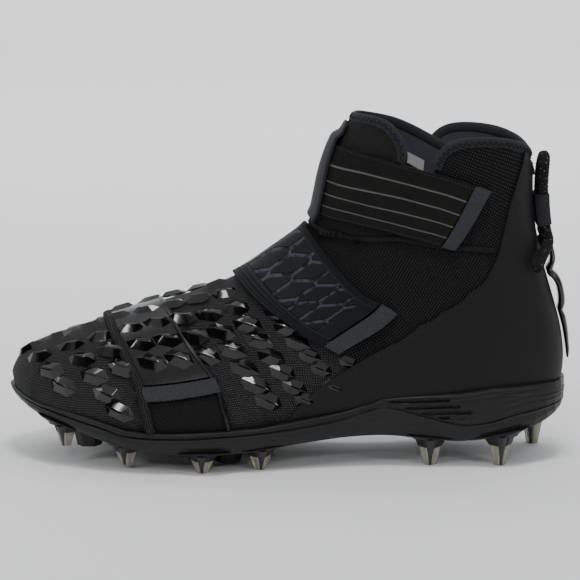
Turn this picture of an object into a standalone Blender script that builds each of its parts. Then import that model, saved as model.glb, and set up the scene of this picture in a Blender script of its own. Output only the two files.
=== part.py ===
"""American football cleat, left shoe, with an ankle cuff and two closing straps.

The shoe stands on its studs on the plane Z = 0. The toe points along -X, the heel along +X,
the outer (lateral) side along -Y and the inner (medial) side along +Y. Lengths are in metres.
"""
import math

import bpy
import bmesh
import numpy as np
from mathutils import Vector

for leftover in list(bpy.data.objects):
    bpy.data.objects.remove(leftover, do_unlink=True)

# Driving sizes
SOLE_LENGTH = 0.3132
BALL_WIDTH = 0.1055
HEEL_WIDTH = 0.0750
BODY_HEIGHT = 0.1810
STUD_LENGTH = 0.0107
UPPER_WALL = 0.0022
TONGUE_WALL = 0.0020
PANEL_SKIN = 0.0009
BAND_THICKNESS = 0.0011
STRAP_THICKNESS = 0.0017
INSTEP_STRAP_THICKNESS = 0.0022
STRIP_THICKNESS = 0.0022
TRIM_THICKNESS = 0.0011
BINDING_RADIUS = 0.0021
INSOLE_THICKNESS = 0.0045
PLATE_FLOOR = 0.0034
RIB_DEPTH = 0.0007
GROOVE_DEPTH = 0.0014
ROPE_DIAMETER = 0.0064
SLEEVE_WALL = 0.0006
SPINE_WIDTH = 0.0120
TAG_THICKNESS = 0.0006
FIT = 0.0003
SHEET_FIT = 0.0005
STRAP_FIT = 0.0008

# Where the frame's origin lies: the heel's back in X and the middle line in Y
HEEL_X = SOLE_LENGTH * 0.4954
MIDDLE_Y = BALL_WIDTH * 0.0011

# Resolution of the upper's rings
RING_POINTS = 24
SOLE_STATIONS = 33

# The first rows at the toe's tip, which are too small for a surface that lies deep inside
TIP_ROWS = 1.4

# Sections of the last, from the toe to above the collar. Each one lies between a point on the
# front or top of the foot and a point on its underside or back. Columns: top share of the length
# from the heel, top share of the body height, under share of the length, under share of the body
# height, top's side shift, middle's side shift, half width (all three as shares of the local
# width), height of the widest place, squareness below it, squareness above it
LAST_ROWS = (
    (0.997, 0.192, 0.997, 0.192, 0.071, 0.071, 0.000, 0.50, 2.2, 2.00),
    (0.992, 0.215, 0.994, 0.170, 0.071, 0.071, 0.062, 0.50, 2.2, 2.00),
    (0.981, 0.247, 0.990, 0.151, 0.070, 0.070, 0.123, 0.45, 2.3, 2.00),
    (0.964, 0.271, 0.979, 0.132, 0.066, 0.062, 0.194, 0.40, 2.5, 2.00),
    (0.937, 0.297, 0.955, 0.113, 0.056, 0.038, 0.265, 0.34, 2.8, 2.00),
    (0.899, 0.319, 0.913, 0.090, 0.058, 0.026, 0.346, 0.30, 3.0, 2.00),
    (0.848, 0.348, 0.859, 0.066, 0.062, 0.017, 0.417, 0.28, 3.2, 2.00),
    (0.785, 0.382, 0.792, 0.038, 0.065, -0.005, 0.470, 0.27, 3.2, 2.00),
    (0.715, 0.417, 0.722, 0.020, 0.065, -0.025, 0.483, 0.27, 3.2, 1.95),
    (0.645, 0.456, 0.645, 0.018, 0.060, -0.041, 0.466, 0.27, 3.2, 1.90),
    (0.581, 0.506, 0.568, 0.024, 0.047, -0.061, 0.428, 0.27, 3.2, 1.90),
    (0.530, 0.567, 0.485, 0.041, 0.043, -0.060, 0.414, 0.27, 3.1, 1.90),
    (0.498, 0.607, 0.396, 0.059, 0.037, -0.064, 0.425, 0.28, 3.0, 2.00),
    (0.471, 0.643, 0.294, 0.069, 0.027, -0.051, 0.448, 0.30, 2.9, 2.10),
    (0.455, 0.676, 0.179, 0.069, 0.013, -0.024, 0.461, 0.32, 2.8, 2.20),
    (0.445, 0.712, 0.080, 0.077, 0.007, -0.013, 0.467, 0.34, 2.6, 2.30),
    (0.442, 0.736, 0.026, 0.129, 0.000, -0.008, 0.467, 0.36, 2.4, 2.40),
    (0.438, 0.770, 0.009, 0.223, 0.000, -0.005, 0.461, 0.38, 2.3, 2.40),
    (0.434, 0.806, 0.013, 0.333, 0.000, 0.000, 0.451, 0.40, 2.2, 2.30),
    (0.428, 0.847, 0.031, 0.449, 0.000, 0.000, 0.440, 0.44, 2.2, 2.20),
    (0.417, 0.902, 0.051, 0.565, 0.000, 0.000, 0.440, 0.47, 2.2, 2.10),
    (0.404, 0.946, 0.066, 0.698, 0.000, 0.000, 0.453, 0.50, 2.2, 2.10),
    (0.391, 0.982, 0.069, 0.836, 0.000, 0.000, 0.475, 0.50, 2.2, 2.10),
    (0.377, 1.024, 0.069, 0.974, 0.000, 0.000, 0.491, 0.50, 2.2, 2.10),
    (0.364, 1.068, 0.069, 1.057, 0.000, 0.000, 0.499, 0.50, 2.2, 2.10),
)

# Outline of the sole. Columns: share of the length from the heel, outer edge and inner edge as
# shares of the local width
SOLE_OUTLINE = (
    (0.000, 0.000, 0.000),
    (0.010, -0.200, 0.200),
    (0.029, -0.320, 0.327),
    (0.064, -0.427, 0.420),
    (0.115, -0.487, 0.467),
    (0.179, -0.507, 0.473),
    (0.259, -0.500, 0.440),
    (0.338, -0.500, 0.393),
    (0.418, -0.507, 0.368),
    (0.498, -0.491, 0.360),
    (0.578, -0.489, 0.397),
    (0.658, -0.506, 0.460),
    (0.738, -0.502, 0.493),
    (0.817, -0.447, 0.483),
    (0.881, -0.360, 0.431),
    (0.929, -0.265, 0.360),
    (0.961, -0.175, 0.289),
    (0.983, -0.076, 0.209),
    (0.996, 0.009, 0.137),
    (1.000, 0.071, 0.071),
)

# Side profile of the sole as shares of the body height. Columns: share of the length from the
# heel, plate's lower edge, midsole's rim, parting line of plate and midsole, bed under the foot
SOLE_PROFILE = (
    (0.000, 0.123, 0.187, 0.130, 0.140),
    (0.022, 0.090, 0.192, 0.127, 0.118),
    (0.051, 0.067, 0.194, 0.121, 0.103),
    (0.096, 0.047, 0.192, 0.107, 0.093),
    (0.140, 0.031, 0.188, 0.086, 0.090),
    (0.172, 0.025, 0.180, 0.078, 0.088),
    (0.204, 0.023, 0.174, 0.081, 0.088),
    (0.255, 0.028, 0.169, 0.104, 0.088),
    (0.300, 0.038, 0.163, 0.127, 0.088),
    (0.332, 0.041, 0.158, 0.135, 0.087),
    (0.358, 0.040, 0.140, 0.123, 0.085),
    (0.406, 0.035, 0.117, 0.097, 0.077),
    (0.477, 0.022, 0.097, 0.077, 0.061),
    (0.546, 0.006, 0.080, 0.067, 0.046),
    (0.616, 0.000, 0.075, 0.061, 0.038),
    (0.686, 0.000, 0.070, 0.056, 0.038),
    (0.779, 0.016, 0.075, 0.060, 0.054),
    (0.827, 0.035, 0.099, 0.081, 0.071),
    (0.900, 0.070, 0.124, 0.108, 0.106),
    (0.939, 0.088, 0.135, 0.121, 0.125),
    (0.967, 0.109, 0.146, 0.133, 0.143),
    (0.990, 0.131, 0.154, 0.145, 0.156),
    (1.000, 0.147, 0.156, 0.152, 0.167),
)


def local_width(a):
    """Width that the side shares refer to, from the heel's width to the ball's."""
    t = min(max((a - 0.36) / 0.26, 0.0), 1.0)
    return HEEL_WIDTH + (BALL_WIDTH - HEEL_WIDTH) * t * t * (3.0 - 2.0 * t)


def along(a):
    """X of a share of the length, counted from the heel."""
    return HEEL_X - a * SOLE_LENGTH


def share(x):
    """Share of the length at an X."""
    return (HEEL_X - x) / SOLE_LENGTH


def level(s):
    """Z of a share of the body height, counted from the plate at the ball."""
    return STUD_LENGTH + s * BODY_HEIGHT


def spline(table, u):
    """Smooth value of each column between a table's rows; u counts rows."""
    rows = np.asarray(table, float)
    last = len(rows) - 1
    k = int(min(max(math.floor(u), 0), last - 1))
    t = u - k
    p0 = rows[max(k - 1, 0)]
    p1 = rows[k]
    p2 = rows[k + 1]
    p3 = rows[min(k + 2, last)]
    return 0.5 * (2 * p1 + (p2 - p0) * t + (2 * p0 - 5 * p1 + 4 * p2 - p3) * t * t
                  + (3 * p1 - p0 - 3 * p2 + p3) * t ** 3)


def dense(table, steps=12):
    """A table's smooth curve as many rows."""
    count = (len(table) - 1) * steps
    return np.array([spline(table, i / steps) for i in range(count + 1)])


OUTLINE_CURVE = dense(SOLE_OUTLINE)
PROFILE_CURVE = dense(SOLE_PROFILE)


def sole_edges(a):
    """Outer and inner Y of the sole's outline at a share of the length."""
    if a <= 0.0 or a >= 1.0:
        y = SOLE_OUTLINE[0 if a <= 0.0 else -1][1] * local_width(a)
        return y + MIDDLE_Y, y + MIDDLE_Y
    outer = np.interp(a, OUTLINE_CURVE[:, 0], OUTLINE_CURVE[:, 1]) * local_width(a)
    inner = np.interp(a, OUTLINE_CURVE[:, 0], OUTLINE_CURVE[:, 2]) * local_width(a)
    return outer + MIDDLE_Y, inner + MIDDLE_Y


def sole_level(a, column):
    """Z of one line of the sole's side profile: 1 lower edge, 2 rim, 3 parting, 4 bed."""
    return level(np.interp(a, PROFILE_CURVE[:, 0], PROFILE_CURVE[:, column]))


SWEEP = np.linspace(0.0, math.pi, 121)
SWEEP_COS = np.cos(SWEEP)
SWEEP_SIN = np.sin(SWEEP)


def half_section(u, side):
    """Dense points of one side of a section, from its top to its underside."""
    top_a, top_z, low_a, low_z, top_y, mid_y, half, wide_at, low_sq, top_sq = spline(LAST_ROWS, u)
    half = max(half, 0.0)
    power = np.where(SWEEP_COS >= 0.0, 2.0 / top_sq, 2.0 / low_sq)
    rise = np.where(SWEEP_COS >= 0.0, 1.0 - wide_at, wide_at)
    t = wide_at + np.sign(SWEEP_COS) * rise * np.abs(SWEEP_COS) ** power
    out = half * np.clip(SWEEP_SIN, 0.0, 1.0) ** power
    a = low_a + (top_a - low_a) * t
    z = low_z + (top_z - low_z) * t
    y = mid_y + (top_y - mid_y) * t + side * out
    width = local_width(0.4 * top_a + 0.6 * low_a)
    points = np.stack([HEEL_X - a * SOLE_LENGTH, y * width + MIDDLE_Y,
                       STUD_LENGTH + z * BODY_HEIGHT], 1)
    run = np.concatenate([[0.0], np.cumsum(np.linalg.norm(np.diff(points, axis=0), axis=1))])
    return points, run


def ring(u, vs):
    """Points of a section at signed shares of its half girth: 0 top, -1 and 1 underside."""
    vs = np.asarray(vs, float)
    vs = (vs + 1.0) % 2.0 - 1.0
    result = np.zeros((len(vs), 3))
    for side in (-1, 1):
        pick = vs < 0 if side < 0 else vs >= 0
        if pick.any():
            points, run = half_section(u, side)
            at = np.abs(vs[pick]) * run[-1]
            for axis in range(3):
                result[pick, axis] = np.interp(at, run, points[:, axis])
    return result


def raised_ring(u, vs, lifts):
    """Points of a section, each lifted along the surface's outward normal."""
    vs = np.asarray(vs, float)
    du = 0.12
    dv = 0.012
    point = ring(u, vs)
    across = ring(u, vs + dv) - ring(u, vs - dv)
    ahead = ring(min(u + du, len(LAST_ROWS) - 1), vs) - ring(max(u - du, 0.0), vs)
    normal = np.cross(ahead, across)
    size = np.linalg.norm(normal, axis=1, keepdims=True)
    return point + normal / np.maximum(size, 1e-12) * np.reshape(lifts, (-1, 1))


def material(name, colour, roughness, metallic=0.0):
    """A plain surface with a colour, a roughness and a metallic value."""
    made = bpy.data.materials.new(name)
    made.use_nodes = True
    shader = made.node_tree.nodes["Principled BSDF"]
    shader.inputs["Base Color"].default_value = (*colour, 1.0)
    shader.inputs["Roughness"].default_value = roughness
    shader.inputs["Metallic"].default_value = metallic
    return made


MESH_BLACK = material("black_mesh", (0.022, 0.022, 0.024), 0.75)
SKIN_BLACK = material("matte_black_skin", (0.018, 0.018, 0.020), 0.55)
FILM_BLACK = material("glossy_black_film", (0.012, 0.012, 0.013), 0.18)
SOLE_BLACK = material("black_sole_foam", (0.020, 0.020, 0.022), 0.50)
PLATE_BLACK = material("black_plate", (0.022, 0.022, 0.024), 0.42)
STUD_CLEAR = material("smoky_stud_tip", (0.45, 0.43, 0.36), 0.20)
ELASTIC_BLACK = material("black_elastic", (0.020, 0.019, 0.018), 0.80)
STRAP_BLUE_BLACK = material("blue_black_strap", (0.026, 0.029, 0.036), 0.55)
TRIM_GREY = material("dark_grey_trim", (0.060, 0.062, 0.070), 0.60)
LINING_BLUE = material("slate_lining", (0.050, 0.056, 0.072), 0.85)
ROPE_BLACK = material("flecked_rope", (0.020, 0.020, 0.021), 0.80)
SPINE_GLOSS = material("glossy_spine", (0.018, 0.018, 0.020), 0.22)
TAG_PALE = material("pale_tag", (0.42, 0.42, 0.41), 0.70)


def add_object(name, verts, faces, surface, smooth=40.0):
    """An object from points and faces, with its own surface and smooth shading."""
    mesh = bpy.data.meshes.new(name)
    mesh.from_pydata([tuple(float(c) for c in v) for v in verts], [], [list(f) for f in faces])
    body = bmesh.new()
    body.from_mesh(mesh)
    bmesh.ops.remove_doubles(body, verts=body.verts, dist=1e-6)
    bmesh.ops.dissolve_degenerate(body, edges=body.edges, dist=1e-6)
    bmesh.ops.recalc_face_normals(body, faces=body.faces)
    body.to_mesh(mesh)
    body.free()
    mesh.materials.append(surface)
    mesh.shade_smooth()
    mesh.set_sharp_from_angle(angle=math.radians(smooth))
    made = bpy.data.objects.new(name, mesh)
    bpy.context.collection.objects.link(made)
    return made


def guide(made):
    """Marks a cutter, which isn't a piece of the shoe."""
    made.hide_render = True
    made.display_type = "WIRE"
    return made


def combine(target, cutter, operation):
    """Applies one exact Boolean of a guide to a piece."""
    step = target.modifiers.new("cut", "BOOLEAN")
    step.operation = operation
    step.solver = "EXACT"
    step.object = cutter
    bpy.context.view_layer.update()
    graph = bpy.context.evaluated_depsgraph_get()
    result = bpy.data.meshes.new_from_object(target.evaluated_get(graph))
    target.modifiers.clear()
    old = target.data
    result.name = target.name
    target.data = result
    bpy.data.meshes.remove(old)
    body = bmesh.new()
    body.from_mesh(result)
    bmesh.ops.remove_doubles(body, verts=body.verts, dist=2e-6)
    bmesh.ops.dissolve_degenerate(body, edges=body.edges, dist=2e-6)
    body.to_mesh(result)
    body.free()
    result.set_sharp_from_angle(angle=math.radians(40))


def drop(made):
    """Takes a used cutter out of the file."""
    bpy.data.objects.remove(made, do_unlink=True)


def skin(name, us, vs, outer_lift, inner_lift, surface, whole=True, cap=False):
    """A wall between two lifts of the last, over some rows and girth shares.

    A whole skin closes around the section and starts at the toe's tip when its first row is 0.
    With cap it is a solid body instead, closed at its last section.
    """
    verts = []
    faces = []
    closed_tip = us[0] <= 0.0
    count = len(vs)
    span = count if whole else count - 1
    ends = []
    for layer, lift in enumerate((outer_lift,) if cap else (outer_lift, inner_lift)):
        deep = not callable(lift) and lift < -0.001
        rows = [u for u in us if u > (TIP_ROWS if deep and closed_tip else 0.0)]
        tip = len(verts)
        if closed_tip:
            verts.append(ring(0.0, [0.0])[0] + np.array([-lift, 0.0, 0.0]))
        first = len(verts)
        for u in rows:
            verts.extend(raised_ring(u, vs, [lift(u, v) if callable(lift) else lift for v in vs]))
        for j in range(span):
            k = (j + 1) % count
            if closed_tip:
                tri = (tip, first + j, first + k)
                faces.append(tri if layer == 0 else tri[::-1])
            for i in range(len(rows) - 1):
                p, q = first + i * count + j, first + (i + 1) * count + j
                r, t = first + (i + 1) * count + k, first + i * count + k
                for tri in ((p, q, r), (p, r, t)):
                    faces.append(tri if layer == 0 else tri[::-1])
        ends.append((first, first + (len(rows) - 1) * count))
    if cap:
        faces.append([ends[0][1] + j for j in range(count)])
    else:
        (a, a_end), (b, b_end) = ends
        for j in range(span):
            k = (j + 1) % count
            faces.append((a_end + j, b_end + j, b_end + k, a_end + k))
            if not closed_tip:
                faces.append((a + k, b + k, b + j, a + j))
        if not whole:
            for i in range(len(us) - 1):
                for j, flip in ((0, False), (count - 1, True)):
                    quad = (a + i * count + j, b + i * count + j,
                            b + (i + 1) * count + j, a + (i + 1) * count + j)
                    faces.append(quad[::-1] if flip else quad)
    return add_object(name, verts, faces, surface)


def prism(name, outline, low_y, high_y):
    """A side-view outline of (X, Z) points carried straight across from one Y to another."""
    count = len(outline)
    verts = [(x, low_y, z) for x, z in outline] + [(x, high_y, z) for x, z in outline]
    faces = [list(range(count)), list(range(2 * count - 1, count - 1, -1))]
    for j in range(count):
        k = (j + 1) % count
        faces.append((j, k, k + count, j + count))
    return guide(add_object(name, verts, faces, SKIN_BLACK))


def side_points(table):
    """Side-view (X, Z) points from shares of the length and of the body height."""
    return [(along(a), level(s)) for a, s in table]


WIDE = BALL_WIDTH * 0.8
RING = [-1.0 + 2.0 * j / RING_POINTS for j in range(RING_POINTS)]
TOE_ROWS = [0, 1, 2, 3, 4]
CUFF_ROWS = [21, 22, 23, 24]
ROWS = TOE_ROWS + [5 + 0.75 * i for i in range(21)] + CUFF_ROWS


def bed_outline(rise_low, rise_high):
    """Side-view outline of a layer that lies along the bed under the foot."""
    shares = [1.06 - 1.12 * i / 44 for i in range(45)]
    top = [(along(a), sole_level(a, 4) + rise_high) for a in shares]
    if rise_low is None:
        return top + [(along(shares[-1]), -0.05), (along(shares[0]), -0.05)]
    return top + [(along(a), sole_level(a, 4) + rise_low) for a in reversed(shares)]


def lifted(u, v, lift):
    """One point over the last's surface."""
    return raised_ring(u, [v], [lift])[0]


def tube(name, points, radius, sides, surface):
    """A round cord with flat ends along a smooth line of points."""
    points = [Vector(p) for p in points]
    count = len(points)
    verts = []
    faces = []
    side = None
    for i, point in enumerate(points):
        ahead = (points[min(i + 1, count - 1)] - points[max(i - 1, 0)]).normalized()
        if side is None:
            side = ahead.cross(Vector((0.3, 0.1, 1.0))).normalized()
        side = (side - ahead * side.dot(ahead)).normalized()
        other = ahead.cross(side)
        for j in range(sides):
            turn = 2.0 * math.pi * j / sides
            verts.append(point + radius * (math.cos(turn) * side + math.sin(turn) * other))
    for i in range(count - 1):
        for j in range(sides):
            k = (j + 1) % sides
            faces.append((i * sides + j, i * sides + k, (i + 1) * sides + k, (i + 1) * sides + j))
    faces.append(list(range(sides)))
    faces.append([(count - 1) * sides + j for j in range(sides)])
    return add_object(name, verts, faces, surface, 50.0)


def smooth_line(table, count):
    """Evenly counted rows along a table's smooth curve."""
    last = len(table) - 1
    return [spline(table, last * i / (count - 1)) for i in range(count)]


def around_back(path):
    """A path from the outer side to the back line, carried on to the inner side."""
    return tuple(path) + tuple((u, -2.0 - v) for u, v in path[-2::-1])


def edge_beside(path, lift, side, count=24):
    """Side-view line that lies one binding radius and a fit inside a binding's path."""
    rows = smooth_line(path, count)
    spots = [lifted(u, v, lift(u, v)) for u, v in rows]
    line = []
    for i, (u, v) in enumerate(rows):
        ahead = spots[min(i + 1, count - 1)] - spots[max(i - 1, 0)]
        outward = lifted(u, v, 0.001) - lifted(u, v, 0.0)
        inside = np.cross(ahead, outward) * side
        clear = BINDING_RADIUS + SHEET_FIT * (1.4 + 2.0 * max(0.0, abs(v) - 0.8) / 0.2)
        inside *= clear / np.linalg.norm(inside)
        point = (spots[i][0] + inside[0], spots[i][2] + inside[2])
        far = not line or math.hypot(point[0] - line[-1][0], point[1] - line[-1][1]) > 0.0006
        if far and (not line or point[0] > line[-1][0] + 0.0002 or point[1] < line[-1][1] - 0.0002
                    or len(line) < LINE_CLIMB and point[1] > line[-1][1]):
            line.append(point)
    return line


# Paths of the bindings over the last: row of the last, share of the half girth (0 is the front,
# -1 and 1 the back). The collar's path starts at the slit on the outer side and is mirrored
COLLAR_PATH = (
    (21.36, -0.475), (21.66, -0.479), (21.95, -0.492), (22.25, -0.522),
    (22.45, -0.570), (22.57, -0.650), (22.60, -0.750), (22.53, -0.850), (22.42, -0.930),
    (22.36, -1.000),
)
FLAP_OUTER = (
    (22.22, 0.000), (22.30, -0.060), (22.42, -0.130), (22.48, -0.200), (22.36, -0.258),
    (22.05, -0.296), (21.65, -0.325), (21.30, -0.335), (21.05, -0.332),
)
FLAP_INNER = (
    (22.22, 0.000), (22.26, 0.060), (22.26, 0.140), (22.20, 0.220), (22.10, 0.300),
    (21.95, 0.380), (21.80, 0.450), (21.68, 0.520), (21.60, 0.570),
)
LINE_CLIMB = 8
TUCK = 0.5 * UPPER_WALL + 2.0 * BINDING_RADIUS - 0.5 * TONGUE_WALL + 2.0 * FIT


def tuck(u, v):
    """Lift of the tongue's outer face, which slips inside the rear cuff on the inner side."""
    t = min(max((v - 0.07) / 0.20, 0.0), 1.0)
    return -TUCK * t * t * (3.0 - 2.0 * t)


# The seam over the instep under the tongue, and the hidden foot of the slit. Shares of the
# length from the heel and of the body height
SEAM_LINE = (
    (0.560, 0.680), (0.500, 0.678), (0.414, 0.667), (0.350, 0.655), (0.310, 0.664),
)
SLIT_FOOT = ((0.274, 0.712), (0.250, 0.770), (0.240, 0.835))
BACK_END = ((0.067, 0.870), (-0.060, 0.870))
CUFF_CUT = (side_points(SEAM_LINE + SLIT_FOOT)
            + edge_beside(COLLAR_PATH, lambda u, v: -0.5 * UPPER_WALL, 1) + side_points(BACK_END))
ABOVE = [(along(-0.060), level(1.30)), (along(0.560), level(1.30))]

# Upper: one wall around the foot, open below the bed, at the throat and at the collar
upper = skin("upper", ROWS, RING, 0.0, -UPPER_WALL, MESH_BLACK)
under = prism("under_cut", bed_outline(None, FIT), -WIDE, WIDE)
combine(upper, under, "DIFFERENCE")
drop(under)
cuff = prism("cuff_cut", CUFF_CUT + ABOVE, -WIDE, WIDE)
combine(upper, cuff, "DIFFERENCE")
drop(cuff)

# Insole: the layer inside the upper's wall that rests on the bed
insole = skin("insole", ROWS, RING, -(UPPER_WALL + SHEET_FIT), None, LINING_BLUE, cap=True)
layer = prism("insole_layer", bed_outline(FIT, FIT + INSOLE_THICKNESS), -WIDE, WIDE)
combine(insole, layer, "INTERSECT")
drop(layer)


def sole_body(name, lines, surface):
    """A body lofted along the sole from paired side lines.

    lines(a) gives two lists of (Y, Z) of equal length: the outer half from its lower middle up
    to its upper middle, and the inner half the same way.
    """
    verts = []
    faces = []
    steps = [math.cos(math.pi * i / (SOLE_STATIONS - 1)) for i in range(SOLE_STATIONS)]
    stations = [0.5 - (0.5 - END_FLAT) * step for step in steps]
    count = None
    for a in stations:
        outer, inner = lines(a)
        loop = outer + inner[::-1]
        count = len(loop)
        verts.extend((along(a), y, z) for y, z in loop)
    for i in range(SOLE_STATIONS - 1):
        for j in range(count):
            k = (j + 1) % count
            if abs(verts[i * count + j][1] - MIDDLE_Y) > abs(verts[i * count + k][1] - MIDDLE_Y):
                faces.append((i * count + j, i * count + k, (i + 1) * count + j))
                faces.append((i * count + k, (i + 1) * count + k, (i + 1) * count + j))
            else:
                faces.append((i * count + j, i * count + k, (i + 1) * count + k))
                faces.append((i * count + j, (i + 1) * count + k, (i + 1) * count + j))
    faces.append(list(range(count)))
    faces.append([(SOLE_STATIONS - 1) * count + j for j in range(count)])
    return add_object(name, verts, faces, surface, 35.0)


def toward(y, middle, step):
    """A Y moved inward by a step, never past the middle line."""
    room = abs(y - middle)
    return y + math.copysign(min(step, room), middle - y) if room > 0 else y


DISH_INSET = BALL_WIDTH * 0.055
EDGE_ROUND = BALL_WIDTH * 0.020
SIDE_LEAN = BALL_WIDTH * 0.006
SIDE_LEVELS = 5
RIB_REACH = 0.13
END_RUN = 0.03
END_FLAT = 0.0015


def dish_floor(a):
    """Z where the midsole meets the plate's floor."""
    low = sole_level(a, 1)
    part = sole_level(a, 3)
    depth = part - low - min(PLATE_FLOOR, 0.55 * (part - low))
    return part - depth * min(1.0, a / END_RUN, (1.0 - a) / END_RUN)


def midsole_lines(a):
    """Section of the midsole: dished underside, ribbed side, rim."""
    halves = []
    edges = sole_edges(a)
    middle = 0.5 * (edges[0] + edges[1])
    low = sole_level(a, 3)
    rim = sole_level(a, 2)
    floor = dish_floor(a)
    fade = max(0.0, 1.0 - a / RIB_REACH)
    for edge in edges:
        half = [(middle, floor), (toward(edge, middle, 1.5 * DISH_INSET), floor),
                (toward(edge, middle, 0.5 * DISH_INSET), floor + 0.3 * (low - floor))]
        for j in range(SIDE_LEVELS):
            t = j / (SIDE_LEVELS - 1)
            lean = SIDE_LEAN * (1.0 - 4.0 * t * (1.0 - t))
            rib = RIB_DEPTH * fade if j % 2 == 0 and 0 < j < SIDE_LEVELS - 1 else 0.0
            half.append((toward(edge, middle, lean + rib), low + (rim - low) * t))
        half.append((middle, rim))
        halves.append(half)
    return halves


def plate_lines(a):
    """Section of the plate: flat underside, rolled edge, side up to the parting line, dish."""
    halves = []
    edges = sole_edges(a)
    middle = 0.5 * (edges[0] + edges[1])
    low = sole_level(a, 1)
    part = sole_level(a, 3) - 1.3 * SHEET_FIT
    floor = dish_floor(a) - SHEET_FIT
    for edge in edges:
        half = [(middle, low), (toward(edge, middle, 2.2 * EDGE_ROUND), low),
                (toward(edge, middle, 0.8 * EDGE_ROUND), low + 0.18 * (part - low)),
                (toward(edge, middle, 0.3 * EDGE_ROUND), low + 0.5 * (part - low)),
                (toward(edge, middle, SIDE_LEAN), part),
                (toward(edge, middle, 0.5 * DISH_INSET - SHEET_FIT), floor + 0.3 * (part - floor)),
                (toward(edge, middle, 1.5 * DISH_INSET - SHEET_FIT), floor), (middle, floor)]
        halves.append(half)
    return halves


midsole = sole_body("midsole", midsole_lines, SOLE_BLACK)
cup = guide(skin("cup_cut", ROWS, RING, SHEET_FIT, None, SOLE_BLACK, cap=True))
bed = prism("bed_cut", bed_outline(None, 0.0), -WIDE, WIDE)
combine(cup, bed, "DIFFERENCE")
drop(bed)
combine(midsole, cup, "DIFFERENCE")
drop(cup)

# Staggered grooves in the midsole's outer side. Columns: start and end share of the length, start
# and end share of the body height, height of the groove as a share of the body height
GROOVES = (
    (0.320, 0.215, 0.1440, 0.1500, 0.0090),
    (0.292, 0.196, 0.1235, 0.1310, 0.0090),
    (0.262, 0.176, 0.1070, 0.1130, 0.0100),
    (0.232, 0.214, 0.0945, 0.0960, 0.0080),
)
for index, (a0, a1, s0, s1, tall) in enumerate(GROOVES):
    depth_y = min(sole_edges(0.5 * (a0 + a1))) + GROOVE_DEPTH
    corners = side_points(((a0, s0), (a1, s1), (a1, s1 + tall), (a0, s0 + tall)))
    slot = prism("groove_cut_%d" % index, corners, depth_y - 0.02, depth_y)
    combine(midsole, slot, "DIFFERENCE")
    drop(slot)

plate = sole_body("outsole_plate", plate_lines, PLATE_BLACK)

# Studs. Columns: name, share of the length from the heel, side shift as a share of the local
# width, rise of the tip over the floor as a share of the body height, turn in degrees
STUDS = (
    ("outer_1", 0.892, -0.246, 0.058, -28.0),
    ("outer_2", 0.783, -0.360, 0.016, -16.0),
    ("outer_3", 0.648, -0.432, 0.000, -4.0),
    ("outer_4", 0.547, -0.381, 0.000, 12.0),
    ("inner_1", 0.868, 0.322, 0.050, 24.0),
    ("inner_2", 0.766, 0.398, 0.012, 10.0),
    ("inner_3", 0.651, 0.375, 0.000, -6.0),
    ("inner_4", 0.556, 0.308, 0.000, -14.0),
    ("heel_outer_front", 0.246, -0.373, 0.000, 0.0),
    ("heel_outer_rear", 0.122, -0.387, 0.000, 8.0),
    ("heel_inner_front", 0.232, 0.320, 0.000, 0.0),
    ("heel_inner_rear", 0.050, 0.253, 0.000, -20.0),
)
STUD_TIP_SHARE = 0.68
STUD_BASE = (0.0100, 0.0068)
STUD_SHOULDER = (0.0066, 0.0046)
STUD_CROWN = (0.0062, 0.0043)
STUD_TIP = (0.0034, 0.0024)
STUD_ROOT = 0.0014


def blade(name, x, y, turn, low, high, low_size, high_size, surface):
    """A tapered block with a six-sided outline; high may be a height at each X."""
    outline = ((1.0, 0.0), (0.45, 1.0), (-0.45, 1.0), (-1.0, 0.0), (-0.45, -1.0), (0.45, -1.0))
    cos_t = math.cos(math.radians(turn))
    sin_t = math.sin(math.radians(turn))
    verts = []
    for z, (half_x, half_y) in ((low, low_size), (high, high_size)):
        for px, py in outline:
            qx, qy = px * half_x, py * half_y
            at_x = x + qx * cos_t - qy * sin_t
            verts.append((at_x, y + qx * sin_t + qy * cos_t, z(at_x) if callable(z) else z))
    faces = [list(range(6)), list(range(6, 12))]
    faces += [(j, (j + 1) % 6, (j + 1) % 6 + 6, j + 6) for j in range(6)]
    return add_object(name, verts, faces, surface, 20.0)


def root(x):
    """Height of a stud's root inside the plate's floor."""
    return sole_level(share(x), 1) + STUD_ROOT


for name, a, y_share, rise, turn in STUDS:
    x = along(a)
    y = y_share * local_width(a) + MIDDLE_Y
    floor = sole_level(a, 1)
    tip = rise * BODY_HEIGHT
    neck = tip + STUD_TIP_SHARE * (floor - tip)
    boss = guide(blade("boss_" + name, x, y, turn, neck, root,
                       STUD_SHOULDER, STUD_BASE, PLATE_BLACK))
    combine(plate, boss, "UNION")
    drop(boss)
    blade("stud_" + name, x, y, turn, tip, neck - FIT, STUD_TIP, STUD_CROWN, STUD_CLEAR)

# Low traction bars between the outer studs. Columns: share of the length, side shift as a share
# of the local width, foot's height as a share of the body height
BARS = (
    (0.852, -0.190, 0.050),
    (0.604, -0.290, 0.012),
)
for index, (a, y_share, foot) in enumerate(BARS):
    bar = guide(blade("bar_cut_%d" % index, along(a), y_share * local_width(a) + MIDDLE_Y, 0.0,
                      foot * BODY_HEIGHT, root,
                      STUD_SHOULDER, STUD_BASE, PLATE_BLACK))
    combine(plate, bar, "UNION")
    drop(bar)

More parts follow.
